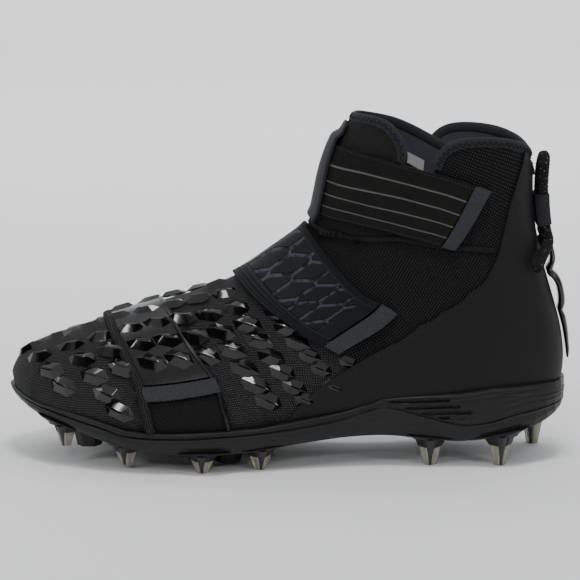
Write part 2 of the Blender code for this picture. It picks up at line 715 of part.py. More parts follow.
# Tongue flap over the instep and the front of the ankle
FLAP_ROWS = [u for u in ROWS if 13.5 <= u <= 23.0]
FLAP_RING = [v for v in RING if -0.45 < v < 0.65]
tongue = skin("tongue_flap", FLAP_ROWS, FLAP_RING, tuck,
              lambda u, v: tuck(u, v) - TONGUE_WALL, MESH_BLACK, whole=False)
below = side_points([(a, h + 0.004) for a, h in SEAM_LINE] + [(0.200, 0.668), (0.050, 0.640)])
seam_cut = prism("flap_seam_cut", below + side_points(((0.050, -0.05), (0.560, -0.05))), -WIDE, WIDE)
combine(tongue, seam_cut, "DIFFERENCE")
drop(seam_cut)
for side, path in ((-1, FLAP_OUTER), (1, FLAP_INNER)):
    line = edge_beside(path, lambda u, v: tuck(u, v) - 0.5 * TONGUE_WALL, -side)
    foot = ((0.322, 0.800), (0.352, 0.700), (0.362, 0.600)) if side < 0 else ((0.180, 0.880), (0.180, 0.600))
    front = side_points(((0.620, 0.930), (0.420, 0.955)))
    rest = side_points(foot + ((-0.060, 0.600), (-0.060, 1.300), (0.620, 1.300)))
    low_y, high_y = (-WIDE, MIDDLE_Y) if side < 0 else (MIDDLE_Y, WIDE)
    top_cut = prism("flap_top_cut", front + line + rest, low_y, high_y)
    combine(tongue, top_cut, "DIFFERENCE")
    drop(top_cut)


def binding(name, path, lift, count, surface):
    """A rolled edge binding along a path over the last."""
    rows = smooth_line(path, count)
    points = [lifted(u, v, lift(u, v)) for u, v in rows]
    return tube(name, points, BINDING_RADIUS, 6, surface)


binding("collar_binding", around_back(COLLAR_PATH), lambda u, v: -0.5 * UPPER_WALL, 40, TRIM_GREY)
FLAP_PATH = tuple(FLAP_OUTER[::-1]) + tuple(FLAP_INNER[1:])
binding("flap_binding", FLAP_PATH, lambda u, v: tuck(u, v) - 0.5 * TONGUE_WALL, 30, TRIM_GREY)


def sheet(name, edge_a, edge_b, along_count, across_count, lift, thickness, surface):
    """A strap or band between two paths over the last, lifted off it."""
    first = smooth_line(edge_a, along_count)
    second = smooth_line(edge_b, along_count)
    verts = []
    for extra in (0.0, thickness):
        for i in range(along_count):
            for j in range(across_count):
                t = j / (across_count - 1)
                u, v = (1.0 - t) * first[i] + t * second[i]
                verts.append(lifted(u, v, (lift(u, v) if callable(lift) else lift) + extra))
    size = along_count * across_count
    faces = []
    for i in range(along_count - 1):
        for j in range(across_count - 1):
            p = i * across_count + j
            q, r, t = p + across_count, p + across_count + 1, p + 1
            for tri in ((p, q, r), (p, r, t)):
                faces.append(tri)
                faces.append(tuple(size + k for k in tri[::-1]))
    rim = [j for j in range(across_count)]
    rim += [i * across_count + across_count - 1 for i in range(1, along_count)]
    rim += [(along_count - 1) * across_count + j for j in range(across_count - 2, -1, -1)]
    rim += [i * across_count for i in range(along_count - 2, 0, -1)]
    for k, p in enumerate(rim):
        q = rim[(k + 1) % len(rim)]
        faces.append((p, q, size + q, size + p))
    return add_object(name, verts, faces, surface, 30.0)


# Ankle strap: from the inner side around the front to its grey tab on the outer side
ANKLE_TOP = (
    (21.30, -0.633), (21.28, -0.533), (21.10, -0.383), (20.78, -0.233), (20.38, -0.090),
    (20.25, 0.000), (20.38, 0.090), (20.78, 0.233), (21.05, 0.383), (21.20, 0.490),
    (21.25, 0.600),
)
ANKLE_LOW = (
    (18.62, -0.483), (18.32, -0.410), (17.62, -0.283), (16.60, -0.167), (15.30, -0.060),
    (14.95, 0.000), (15.30, 0.060), (16.60, 0.167), (17.62, 0.283), (18.32, 0.400),
    (18.62, 0.483),
)
sheet("ankle_strap", ANKLE_TOP, ANKLE_LOW, 25, 5, STRAP_FIT, STRAP_THICKNESS, ELASTIC_BLACK)
sheet("ankle_strap_tab", ((21.302, -0.637), (21.30, -0.700)), ((18.635, -0.487), (18.82, -0.537)),
      3, 5, STRAP_FIT, STRAP_THICKNESS, TRIM_GREY)

# Front strip down the middle of the flap, over the ankle strap
STRAP_TOP = STRAP_FIT + STRAP_THICKNESS + SHEET_FIT


def strip_lift(u, v):
    """Height of the front strip, which rides over the ankle strap."""
    t = min(max((u - 20.55) / 0.60, 0.0), 1.0)
    return STRAP_TOP - (STRAP_TOP - SHEET_FIT) * t * t * (3.0 - 2.0 * t)


sheet("front_strip", ((14.30, -0.062), (18.00, -0.064), (20.00, -0.062), (21.80, -0.058)),
      ((14.30, 0.062), (18.00, 0.064), (20.00, 0.062), (21.80, 0.058)),
      15, 4, strip_lift, STRIP_THICKNESS, TRIM_GREY)

# Midfoot strap: from the inner side of the sole over the instep to its trimmed outer end
MIDFOOT_REAR = (
    (14.28, -0.385), (13.98, -0.350), (13.80, -0.290), (13.68, -0.210), (13.56, -0.110),
    (13.48, 0.000), (13.52, 0.120), (13.66, 0.260), (13.80, 0.370), (13.88, 0.445),
    (13.90, 0.505),
)
MIDFOOT_FRONT = (
    (12.10, -0.490), (11.78, -0.450), (11.25, -0.370), (10.72, -0.283), (10.18, -0.160),
    (9.80, 0.000), (10.00, 0.150), (10.35, 0.300), (10.70, 0.430), (11.00, 0.530),
    (11.22, 0.600),
)
sheet("midfoot_strap", MIDFOOT_REAR, MIDFOOT_FRONT, 23, 5, STRAP_FIT, INSTEP_STRAP_THICKNESS,
      STRAP_BLUE_BLACK)
sheet("midfoot_strap_trim", ((14.305, -0.390), (14.52, -0.436)), ((12.13, -0.495), (12.42, -0.538)),
      3, 5, STRAP_FIT, INSTEP_STRAP_THICKNESS, TRIM_GREY)

# Forefoot band over the vamp, with a grey bar at its outer end
BAND_REAR = (
    (9.25, -0.470), (8.92, -0.395), (8.60, -0.310), (8.25, -0.190), (7.92, 0.000),
    (7.88, 0.150), (8.00, 0.300), (8.20, 0.450), (8.30, 0.530), (8.36, 0.585),
)
BAND_FRONT = (
    (7.42, -0.470), (7.18, -0.395), (6.90, -0.300), (6.60, -0.170), (6.38, 0.000),
    (6.35, 0.150), (6.42, 0.300), (6.55, 0.450), (6.64, 0.520), (6.72, 0.570),
)
sheet("forefoot_band", BAND_REAR, BAND_FRONT, 21, 5, SHEET_FIT, BAND_THICKNESS, FILM_BLACK)
sheet("forefoot_band_trim", ((9.28, -0.477), (9.42, -0.533)), ((7.45, -0.477), (7.66, -0.533)),
      3, 5, SHEET_FIT, BAND_THICKNESS + TRIM_THICKNESS, TRIM_GREY)

# Heel panel: a thin skin over the rear of the upper. Shares of the length from the heel and of
# the body height
PANEL_FRONT = (
    (0.086, 0.900), (0.107, 0.758), (0.119, 0.680), (0.134, 0.601), (0.156, 0.528),
    (0.184, 0.487), (0.233, 0.432), (0.271, 0.391), (0.305, 0.345), (0.337, 0.312),
    (0.424, 0.212), (0.466, 0.162), (0.500, 0.112),
)
PANEL_TOP = ((-0.060, 0.812), (0.046, 0.828), (0.066, 0.862))
PANEL_ROWS = [u for u in ROWS if 10.0 <= u <= 23.0]
panel = skin("heel_panel", PANEL_ROWS, RING, SHEET_FIT + PANEL_SKIN, SHEET_FIT, SKIN_BLACK)
rim_shares = [0.505 - 0.565 * i / 26 for i in range(27)]
rim_line = [(along(a), sole_level(a, 2) + 2.0 * SHEET_FIT) for a in rim_shares]
panel_shape = prism("panel_keep", side_points(PANEL_FRONT) + rim_line + side_points(PANEL_TOP),
                    -WIDE, WIDE)
combine(panel, panel_shape, "INTERSECT")
drop(panel_shape)

# Pull loop: a doubled rope with a ribbed sleeve, standing off the back of the heel
PANEL_LIFT = SHEET_FIT + PANEL_SKIN
ROPE_LIFT = PANEL_LIFT + SHEET_FIT + SLEEVE_WALL + FIT + 0.5 * ROPE_DIAMETER
ROPE_HALF_GAP = 1.00 * ROPE_DIAMETER


def behind(u, y, lift):
    """A point behind the heel's back line, shifted sideways."""
    point = lifted(u, -1.0, lift)
    return np.array([point[0], point[1] + y, point[2]])


# Columns: row of the last, side shift in half gaps of the two strands, extra standoff in rope
# diameters
ROPE_PATH = (
    (20.32, -1.42, 0.00), (20.58, -1.05, 0.00), (20.80, -1.00, 0.00), (21.25, -1.00, 0.00),
    (21.60, -1.00, 0.02), (21.90, -0.98, 0.08), (22.10, -0.80, 0.16), (22.22, -0.45, 0.22),
    (22.26, 0.00, 0.24),
)
strand = [lifted(19.46, -0.842, ROPE_LIFT), lifted(19.90, -0.885, ROPE_LIFT)]
strand += [behind(u, y * ROPE_HALF_GAP, ROPE_LIFT + e * ROPE_DIAMETER) for u, y, e in ROPE_PATH]
loop = strand + [np.array([p[0], 2.0 * MIDDLE_Y - p[1], p[2]]) for p in strand[-2::-1]]
tube("pull_rope", smooth_line([tuple(p) for p in loop], 33), 0.5 * ROPE_DIAMETER, 8, ROPE_BLACK)

# Sleeve around both strands
SLEEVE_ROWS = (20.72, 20.95, 21.20, 21.45)
SLEEVE_STEPS = 6


def stadium(u, grow):
    """Flat loop around both strands at one row."""
    centre = behind(u, 0.0, ROPE_LIFT)
    near = behind(u, 0.0, 0.0)
    out = centre - near
    out = out / np.linalg.norm(out)
    radius = 0.5 * ROPE_DIAMETER + grow
    points = []
    for side in (-1, 1):
        for i in range(SLEEVE_STEPS):
            turn = math.pi * i / (SLEEVE_STEPS - 1)
            across = side * (ROPE_HALF_GAP + radius * math.sin(turn))
            points.append(centre + side * out * -radius * math.cos(turn)
                          + np.array([0.0, across, 0.0]))
    return points


verts = []
for u in SLEEVE_ROWS:
    verts += stadium(u, FIT + SLEEVE_WALL) + stadium(u, FIT)
size = 2 * SLEEVE_STEPS
faces = []
for i in range(len(SLEEVE_ROWS) - 1):
    for j in range(size):
        k = (j + 1) % size
        low, high = 2 * size * i, 2 * size * (i + 1)
        faces.append((low + j, low + k, high + k, high + j))
        faces.append((low + size + j, high + size + j, high + size + k, low + size + k))
for low in (0, 2 * size * (len(SLEEVE_ROWS) - 1)):
    for j in range(size):
        k = (j + 1) % size
        faces.append((low + j, low + size + j, low + size + k, low + k))
add_object("pull_sleeve", verts, faces, TRIM_GREY, 50.0)

# Moulded spine of hooks down the heel's back. Columns: row of the last, inner and outer standoff
# as shares of the spine's reach, share of the spine's width
SPINE_REACH = 0.0071
SPINE = (
    (20.62, 0.00, 0.22, 0.38), (20.50, 0.08, 0.62, 0.38), (20.35, 0.39, 0.86, 0.38),
    (20.15, 0.53, 0.98, 0.45), (19.95, 0.56, 1.00, 0.62), (19.78, 0.37, 0.90, 0.85),
    (19.66, 0.02, 0.68, 1.00), (19.57, 0.00, 0.54, 1.00), (19.46, 0.02, 0.70, 1.00),
    (19.34, 0.25, 0.85, 1.00), (19.15, 0.39, 0.92, 1.00), (18.90, 0.34, 0.88, 1.00),
    (18.68, 0.17, 0.76, 1.00), (18.56, 0.02, 0.56, 1.00), (18.48, 0.00, 0.42, 1.00),
    (18.30, 0.02, 0.50, 1.00), (18.00, 0.06, 0.48, 0.90), (17.70, 0.09, 0.44, 0.80),
    (17.42, 0.14, 0.44, 0.70), (17.22, 0.20, 0.38, 0.55),
)
verts = []
faces = []
for u, inner, outer, wide in SPINE:
    low = PANEL_LIFT + SHEET_FIT + inner * SPINE_REACH
    high = PANEL_LIFT + SHEET_FIT + outer * SPINE_REACH
    half = 0.5 * SPINE_WIDTH * wide
    verts += [behind(u, -half, low), behind(u, half, low), behind(u, half, 0.4 * low + 0.6 * high),
              behind(u, 0.6 * half, high), behind(u, -0.6 * half, high),
              behind(u, -half, 0.4 * low + 0.6 * high)]
for i in range(len(SPINE) - 1):
    for j in range(6):
        k = (j + 1) % 6
        faces.append((i * 6 + j, i * 6 + k, (i + 1) * 6 + k, (i + 1) * 6 + j))
faces.append(list(range(6)))
faces.append([(len(SPINE) - 1) * 6 + j for j in range(6)])
add_object("heel_spine", verts, faces, SPINE_GLOSS, 50.0)

# Small blank tag inside the flap, seen through the slit
TAG_LIFT = -(TUCK + TONGUE_WALL + SHEET_FIT + TAG_THICKNESS)
sheet("inner_tag", ((21.04, 0.374), (20.99, 0.454)), ((20.60, 0.369), (20.55, 0.449)),
      3, 3, TAG_LIFT, TAG_THICKNESS, TAG_PALE)
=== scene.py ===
# %% [markdown]
# A high-cut American football cleat, left shoe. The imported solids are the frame, and each cell
# below dresses one piece of it. The toe points along -X, the outer side lies along -Y, and the
# studs stand on Z = 0. Lengths are in metres unless a name ends in MM.

# %% Frame
import math

import bmesh
import bpy
import numpy as np
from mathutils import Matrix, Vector


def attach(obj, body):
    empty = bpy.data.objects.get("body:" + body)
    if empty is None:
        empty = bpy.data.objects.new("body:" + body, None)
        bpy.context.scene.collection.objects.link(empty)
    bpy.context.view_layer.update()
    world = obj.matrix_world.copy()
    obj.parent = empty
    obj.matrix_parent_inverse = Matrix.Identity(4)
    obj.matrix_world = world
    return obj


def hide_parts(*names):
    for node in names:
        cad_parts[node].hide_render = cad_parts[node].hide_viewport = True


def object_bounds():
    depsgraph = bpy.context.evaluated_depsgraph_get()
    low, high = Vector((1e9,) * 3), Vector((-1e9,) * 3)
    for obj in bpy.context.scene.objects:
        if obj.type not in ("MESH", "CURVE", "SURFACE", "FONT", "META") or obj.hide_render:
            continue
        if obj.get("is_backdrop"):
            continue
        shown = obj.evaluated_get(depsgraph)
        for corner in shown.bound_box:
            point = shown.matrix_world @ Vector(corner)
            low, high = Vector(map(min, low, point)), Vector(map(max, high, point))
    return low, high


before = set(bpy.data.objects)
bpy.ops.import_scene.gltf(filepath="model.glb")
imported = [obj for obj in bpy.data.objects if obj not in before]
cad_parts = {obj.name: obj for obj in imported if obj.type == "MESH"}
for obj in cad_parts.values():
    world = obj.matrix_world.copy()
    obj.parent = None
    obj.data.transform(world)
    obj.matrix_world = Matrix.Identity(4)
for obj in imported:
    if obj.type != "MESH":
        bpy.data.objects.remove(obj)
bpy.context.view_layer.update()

# %% [markdown]
# The shoe is shown from its outer side, a little from above, with a long lens.

# %% Camera
AIM = (0.00035, -0.0006, 0.0932)
EYE = (0.00035, -1.3106, 0.3510)
LENS_MM = 148


def linked(name, data):
    """A new object in the scene."""
    made = bpy.data.objects.new(name, data)
    bpy.context.collection.objects.link(made)
    return made


def look_from(made, place, target):
    """Puts a camera or lamp at its place and turns it to its target."""
    made.location = place
    made.rotation_euler = (Vector(target) - Vector(place)).to_track_quat("-Z", "Y").to_euler()


camera = linked("camera", bpy.data.cameras.new("camera"))
camera.data.lens = LENS_MM
look_from(camera, EYE, AIM)
bpy.context.scene.camera = camera
print("camera set, lens", LENS_MM, "mm")

# %% [markdown]
# The floor runs up into the wall behind in one soft curve, as a paper roll does in a studio, so
# that no line shows where they meet.

# %% Floor


def clear_selection():
    """Nothing selected, so that the next operator works on one piece alone."""
    if bpy.context.mode != "OBJECT":
        bpy.ops.object.mode_set(mode="OBJECT")
    bpy.ops.object.select_all(action="DESELECT")


def take(piece):
    """The piece alone, selected and active."""
    clear_selection()
    piece.select_set(True)
    bpy.context.view_layer.objects.active = piece
    return piece


FLOOR_HALF = 3.0
FLOOR_LONG = 7.0
FLOOR_FRONT = -3.0
FLOOR_BACK = 2.2
SWEEP_RADIUS = 0.8
clear_selection()
bpy.ops.mesh.primitive_grid_add(x_subdivisions=1, y_subdivisions=60, size=1.0)
floor = bpy.context.active_object
floor.name = "paper_floor"
for vertex in floor.data.vertices:
    run = (vertex.co.y + 0.5) * FLOOR_LONG + FLOOR_FRONT
    turn = min(max((run - FLOOR_BACK) / SWEEP_RADIUS, 0.0), math.pi / 2)
    rest = max(run - FLOOR_BACK - SWEEP_RADIUS * math.pi / 2, 0.0)
    vertex.co = (vertex.co.x * 2 * FLOOR_HALF,
                 min(run, FLOOR_BACK) + SWEEP_RADIUS * math.sin(turn),
                 SWEEP_RADIUS * (1 - math.cos(turn)) + rest)
take(floor)
bpy.ops.object.shade_smooth()
floor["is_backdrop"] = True
print("floor of", len(floor.data.polygons), "strips")

# %% [markdown]
# Four soft lamps stand around the shoe, and a long one lights the paper behind it. Dark cards keep
# the front of the room off the glossy pieces.

# %% Lamps and cards


def softbox(name, place, size, power, target=(0.0, 0.0, 0.08)):
    """A rectangular lamp that looks at the shoe."""
    lamp = bpy.data.lights.new(name, "AREA")
    lamp.shape = "RECTANGLE"
    lamp.size, lamp.size_y = size
    lamp.energy = power
    look_from(linked(name, lamp), place, target)


softbox("top_softbox", (0.10, -0.45, 1.9), (0.50, 0.35), 13.0)
softbox("left_softbox", (-1.5, -1.1, 1.1), (0.25, 0.45), 7.0)
softbox("right_softbox", (1.5, -1.3, 1.0), (0.25, 0.45), 6.0)
softbox("front_softbox", (-0.3, -2.3, 1.3), (0.50, 0.22), 6.0)
softbox("backdrop_lamp", (0.0, 0.9, 1.9), (3.0, 0.7), 52.0, (0.0, 2.9, 0.55))


def black_card(name, size, place, turn):
    """A dark card that keeps the front of the room off the shoe, out of the picture."""
    clear_selection()
    bpy.ops.mesh.primitive_plane_add(size=1.0, location=place, rotation=turn)
    card = bpy.context.active_object
    card.name = name
    card.scale = (*size, 1.0)
    bpy.ops.object.transform_apply(location=False, rotation=False, scale=True)
    card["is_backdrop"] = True
    return card


CARDS = [
    black_card("card_behind_camera", (5.0, 2.4), (0.0, -2.7, 1.2), (math.pi / 2, 0.0, 0.0)),
    black_card("card_on_floor", (4.0, 1.9), (0.0, -1.55, 0.003), (0.0, 0.0, 0.0)),
    black_card("card_left", (2.6, 1.5), (-2.1, -0.9, 0.95), (math.pi / 2, 0.0, math.pi / 2)),
    black_card("card_right", (2.6, 1.5), (2.1, -0.9, 0.95), (math.pi / 2, 0.0, math.pi / 2)),
]

world = bpy.data.worlds.new("studio")
world.use_nodes = True
background = world.node_tree.nodes["Background"]
background.inputs["Color"].default_value = (0.80, 0.81, 0.83, 1.0)
background.inputs["Strength"].default_value = 0.92
bpy.context.scene.world = world
print("lamps and", len(CARDS), "cards set")

# %% [markdown]
# Finishes are written as small sums. A Value holds one socket of a material, and adding or
# multiplying Values adds the Math nodes.

# %% Values


def arithmetic(operation, turned=False):
    """A method that joins a Value and a Value or number by one Math node."""
    def method(self, other):
        pair = (other, self) if turned else (self, other)
        return self.finish.math(operation, *pair)
    return method


class Value:
    """A socket whose sums and products are Math nodes."""

    __add__, __radd__ = arithmetic("ADD"), arithmetic("ADD", True)
    __sub__, __rsub__ = arithmetic("SUBTRACT"), arithmetic("SUBTRACT", True)
    __mul__, __rmul__ = arithmetic("MULTIPLY"), arithmetic("MULTIPLY", True)

    def __init__(self, finish, socket):
        self.finish = finish
        self.socket = socket

    def __abs__(self):
        return self.finish.math("ABSOLUTE", self)


print("values ready")

# %% [markdown]
# A Finish holds a material and makes all of its other nodes.

# %% Finishes


class Finish:
    """One material and the nodes it is made of."""

    def __init__(self, name):
        self.material = bpy.data.materials.new(name)
        self.material.use_nodes = True
        self.tree = self.material.node_tree
        self.shader = self.tree.nodes["Principled BSDF"]

    def put(self, socket, value):
        """Gives a socket a link or a plain value."""
        if isinstance(value, Value):
            self.tree.links.new(value.socket, socket)
        elif isinstance(value, tuple) and len(value) == 3 and socket.type == "RGBA":
            socket.default_value = (*value, 1.0)
        else:
            socket.default_value = value

    def node(self, kind, settings=None, inputs=None, output=0):
        """Any node: its settings first, then its sockets by name or number."""
        made = self.tree.nodes.new("ShaderNode" + kind)
        for name, value in (settings or {}).items():
            setattr(made, name, value)
        for name, value in (inputs or {}).items():
            self.put(made.inputs[name], value)
        return Value(self, made.outputs[output])

    def math(self, operation, *values):
        """A Math node; numbers alone never come here."""
        return self.node("Math", {"operation": operation}, dict(enumerate(values)))

    def sine(self, value):
        """A wave."""
        return self.math("SINE", value)

    def step(self, value, low, high):
        """0 below low, 1 above high, smooth between."""
        return self.node("MapRange", {"interpolation_type": "SMOOTHSTEP"},
                         {"Value": value, "From Min": low, "From Max": high})

    def mix(self, share, first, second):
        """A blend of two colours."""
        made = self.tree.nodes.new("ShaderNodeMix")
        made.data_type = "RGBA"
        self.put(made.inputs[0], share)
        self.put(made.inputs[6], first)
        self.put(made.inputs[7], second)
        return Value(self, made.outputs[2])

    def place(self):
        """The place on the object, in millimetres, as three Values."""
        spot = self.node("TexCoord", output=3)
        return self.split(spot, 1000.0)

    def chart(self, name="chart"):
        """The piece's own chart in millimetres: along and across."""
        spot = self.node("UVMap", {"uv_map": name})
        return self.split(spot, 1.0)

    def split(self, vector, factor):
        """Three Values of a vector, scaled."""
        scaled = self.node("VectorMath", {"operation": "SCALE"}, {0: vector, "Scale": factor})
        made = self.tree.nodes.new("ShaderNodeSeparateXYZ")
        self.tree.links.new(scaled.socket, made.inputs[0])
        return [Value(self, socket) for socket in made.outputs]

    def join(self, x, y, z=0.0):
        """A vector of three Values."""
        return self.node("CombineXYZ", inputs={0: x, 1: y, 2: z})

    def noise(self, scale_mm, detail=3.0, rough=0.5, at=None):
        """Soft noise whose grain is about scale_mm wide."""
        spot = at if at is not None else self.node("TexCoord", output=3)
        scale = 1000.0 / scale_mm if at is None else 1.0 / scale_mm
        return self.node("TexNoise", {}, {"Vector": spot, "Scale": scale, "Detail": detail,
                                          "Roughness": rough})

    def bump(self, height, depth_mm):
        """A normal from a height between 0 and 1."""
        return self.node("Bump", {}, {"Height": height, "Distance": depth_mm / 1000.0,
                                      "Strength": 1.0})

    def surface(self, sheen=0.15, **sockets):
        """Sets the shader's sockets; sheen is its mirror strength, underscores stand for spaces."""
        self.shader.inputs["Specular IOR Level"].default_value = sheen
        for name, value in sockets.items():
            self.put(self.shader.inputs[name.replace("_", " ")], value)
        return self.material


def mottled(name, rough, grain_mm, first, second, bumps=None, sheen=0.15, detail=3.0):
    """Two close colours in soft clouds; bumps are their width and depth in millimetres."""
    finish = Finish(name)
    finish.surface(sheen, Roughness=rough,
                   Base_Color=finish.mix(finish.noise(grain_mm, detail), first, second))
    if bumps:
        finish.surface(sheen, Normal=finish.bump(finish.noise(bumps[0], detail), bumps[1]))
    return finish


PAPER = mottled("studio_paper", 0.9, 90.0, (0.905, 0.910, 0.915), (0.930, 0.935, 0.940))
floor.data.materials.append(PAPER.material)
CARD_BLACK = mottled("card_black", 0.95, 60.0, (0.020, 0.020, 0.021), (0.026, 0.026, 0.027))
for card in CARDS:
    card.data.materials.append(CARD_BLACK.material)
print("paper finish ready")

# %% [markdown]
# The upper follows a last, the wooden foot that a shoe is made on. The table below gives 25
# sections of it from the toe to above the collar, as shares of a few sizes. A spot on the shoe is
# then two numbers: the row u and the share v of the half girth, 0 on top and 1 underneath or at
# the back, negative on the outer side.

# %% The last
SOLE_LENGTH = 0.3132
BALL_WIDTH = 0.1055
HEEL_WIDTH = 0.0750
BODY_HEIGHT = 0.1810
STUD_LENGTH = 0.0107
HEEL_X = SOLE_LENGTH * 0.4954
MIDDLE_Y = BALL_WIDTH * 0.0011

# Top and under shares of length and body height, top's and middle's side shift, half width,
# height of the widest place, squareness below and above it
LAST_ROWS = (
    (0.997, 0.192, 0.997, 0.192, 0.071, 0.071, 0.000, 0.50, 2.2, 2.00),
    (0.992, 0.215, 0.994, 0.170, 0.071, 0.071, 0.062, 0.50, 2.2, 2.00),
    (0.981, 0.247, 0.990, 0.151, 0.070, 0.070, 0.123, 0.45, 2.3, 2.00),
    (0.964, 0.271, 0.979, 0.132, 0.066, 0.062, 0.194, 0.40, 2.5, 2.00),
    (0.937, 0.297, 0.955, 0.113, 0.056, 0.038, 0.265, 0.34, 2.8, 2.00),
    (0.899, 0.319, 0.913, 0.090, 0.058, 0.026, 0.346, 0.30, 3.0, 2.00),
    (0.848, 0.348, 0.859, 0.066, 0.062, 0.017, 0.417, 0.28, 3.2, 2.00),
    (0.785, 0.382, 0.792, 0.038, 0.065, -0.005, 0.470, 0.27, 3.2, 2.00),
    (0.715, 0.417, 0.722, 0.020, 0.065, -0.025, 0.483, 0.27, 3.2, 1.95),
    (0.645, 0.456, 0.645, 0.018, 0.060, -0.041, 0.466, 0.27, 3.2, 1.90),
    (0.581, 0.506, 0.568, 0.024, 0.047, -0.061, 0.428, 0.27, 3.2, 1.90),
    (0.530, 0.567, 0.485, 0.041, 0.043, -0.060, 0.414, 0.27, 3.1, 1.90),
    (0.498, 0.607, 0.396, 0.059, 0.037, -0.064, 0.425, 0.28, 3.0, 2.00),
    (0.471, 0.643, 0.294, 0.069, 0.027, -0.051, 0.448, 0.30, 2.9, 2.10),
    (0.455, 0.676, 0.179, 0.069, 0.013, -0.024, 0.461, 0.32, 2.8, 2.20),
    (0.445, 0.712, 0.080, 0.077, 0.007, -0.013, 0.467, 0.34, 2.6, 2.30),
    (0.442, 0.736, 0.026, 0.129, 0.000, -0.008, 0.467, 0.36, 2.4, 2.40),
    (0.438, 0.770, 0.009, 0.223, 0.000, -0.005, 0.461, 0.38, 2.3, 2.40),
    (0.434, 0.806, 0.013, 0.333, 0.000, 0.000, 0.451, 0.40, 2.2, 2.30),
    (0.428, 0.847, 0.031, 0.449, 0.000, 0.000, 0.440, 0.44, 2.2, 2.20),
    (0.417, 0.902, 0.051, 0.565, 0.000, 0.000, 0.440, 0.47, 2.2, 2.10),
    (0.404, 0.946, 0.066, 0.698, 0.000, 0.000, 0.453, 0.50, 2.2, 2.10),
    (0.391, 0.982, 0.069, 0.836, 0.000, 0.000, 0.475, 0.50, 2.2, 2.10),
    (0.377, 1.024, 0.069, 0.974, 0.000, 0.000, 0.491, 0.50, 2.2, 2.10),
    (0.364, 1.068, 0.069, 1.057, 0.000, 0.000, 0.499, 0.50, 2.2, 2.10),
)


print("rows of the last:", len(LAST_ROWS))

# %% [markdown]
# A smooth curve runs through each column of the table. One row of it describes a section, from its
# top over the widest place to its underside.

# %% Sections


def local_width(a):
    """Width that side shares refer to, from the heel's width to the ball's."""
    t = np.clip((np.asarray(a, float) - 0.36) / 0.26, 0.0, 1.0)
    return HEEL_WIDTH + (BALL_WIDTH - HEEL_WIDTH) * t * t * (3.0 - 2.0 * t)


def spline(table, u):
    """Smooth value of each column between a table's rows."""
    rows = np.asarray(table, float)
    last = len(rows) - 1
    k = int(min(max(math.floor(u), 0), last - 1))
    t = u - k
    p0, p1, p2, p3 = rows[max(k - 1, 0)], rows[k], rows[k + 1], rows[min(k + 2, last)]
    return 0.5 * (2 * p1 + (p2 - p0) * t + (2 * p0 - 5 * p1 + 4 * p2 - p3) * t * t
                  + (3 * p1 - p0 - 3 * p2 + p3) * t ** 3)


def smooth_rows(table, count):
    """Many rows along a table's smooth curve."""
    return np.array([spline(table, (len(table) - 1) * i / (count - 1)) for i in range(count)])


SWEEP = np.linspace(0.0, math.pi, 161)
COS = np.cos(SWEEP)
SIN = np.clip(np.sin(SWEEP), 0.0, 1.0)


def lengths(points):
    """Length of a line up to each of its points."""
    return np.concatenate([[0.0], np.cumsum(np.linalg.norm(np.diff(points, axis=0), axis=1))])


def columns_at(at, grid, table):
    """Each column of a table at some places of its grid."""
    return np.stack([np.interp(at, grid, column) for column in table.T], 1)


def unit(vectors):
    """The same directions with length 1."""
    return vectors / np.maximum(np.linalg.norm(vectors, axis=-1, keepdims=True), 1e-12)


def half_section(u, side):
    """Dense points of one side of a section, from its top to its underside."""
    top_a, top_z, low_a, low_z, top_y, mid_y, half, wide_at, low_sq, top_sq = spline(LAST_ROWS, u)
    power = np.where(COS >= 0.0, 2.0 / top_sq, 2.0 / low_sq)
    rise = np.where(COS >= 0.0, 1.0 - wide_at, wide_at)
    t = wide_at + np.sign(COS) * rise * np.abs(COS) ** power
    a = low_a + (top_a - low_a) * t
    y = mid_y + (top_y - mid_y) * t + side * max(half, 0.0) * SIN ** power
    width = local_width(0.4 * top_a + 0.6 * low_a)
    points = np.stack([HEEL_X - a * SOLE_LENGTH, y * width + MIDDLE_Y,
                       STUD_LENGTH + (low_z + (top_z - low_z) * t) * BODY_HEIGHT], 1)
    return points, lengths(points)


print("sections ready")

# %% [markdown]
# The surface is worked out once, at many rows and shares. All that follows looks it up.

# %% Tables of the last
ROW_STEP = 0.02
SHARE_STEP = 0.005
TABLE_ROWS = np.arange(0.0, len(LAST_ROWS) - 1 + 1e-9, ROW_STEP)
TABLE_SHARES = np.linspace(-1.0, 1.0, round(2 / SHARE_STEP) + 1)
TOP = len(TABLE_SHARES) // 2
POINTS = np.zeros((len(TABLE_ROWS), len(TABLE_SHARES), 3))
GIRTH = np.zeros(len(TABLE_ROWS))
for i, row in enumerate(TABLE_ROWS):
    for side in (-1, 1):
        picked = TABLE_SHARES * side >= 0
        dense, run = half_section(row, side)
        POINTS[i, picked] = columns_at(np.abs(TABLE_SHARES[picked]) * run[-1], run, dense)
        GIRTH[i] += 0.5 * run[-1]


def smeared(table, reach):
    """A table averaged over some rows on each side, which takes small kinks out."""
    padded = np.concatenate([table[:1]] * reach + [table] + [table[-1:]] * reach)
    total = np.cumsum(np.concatenate([np.zeros_like(padded[:1]), padded]), axis=0)
    return (total[2 * reach + 1:] - total[:-2 * reach - 1]) / (2 * reach + 1)


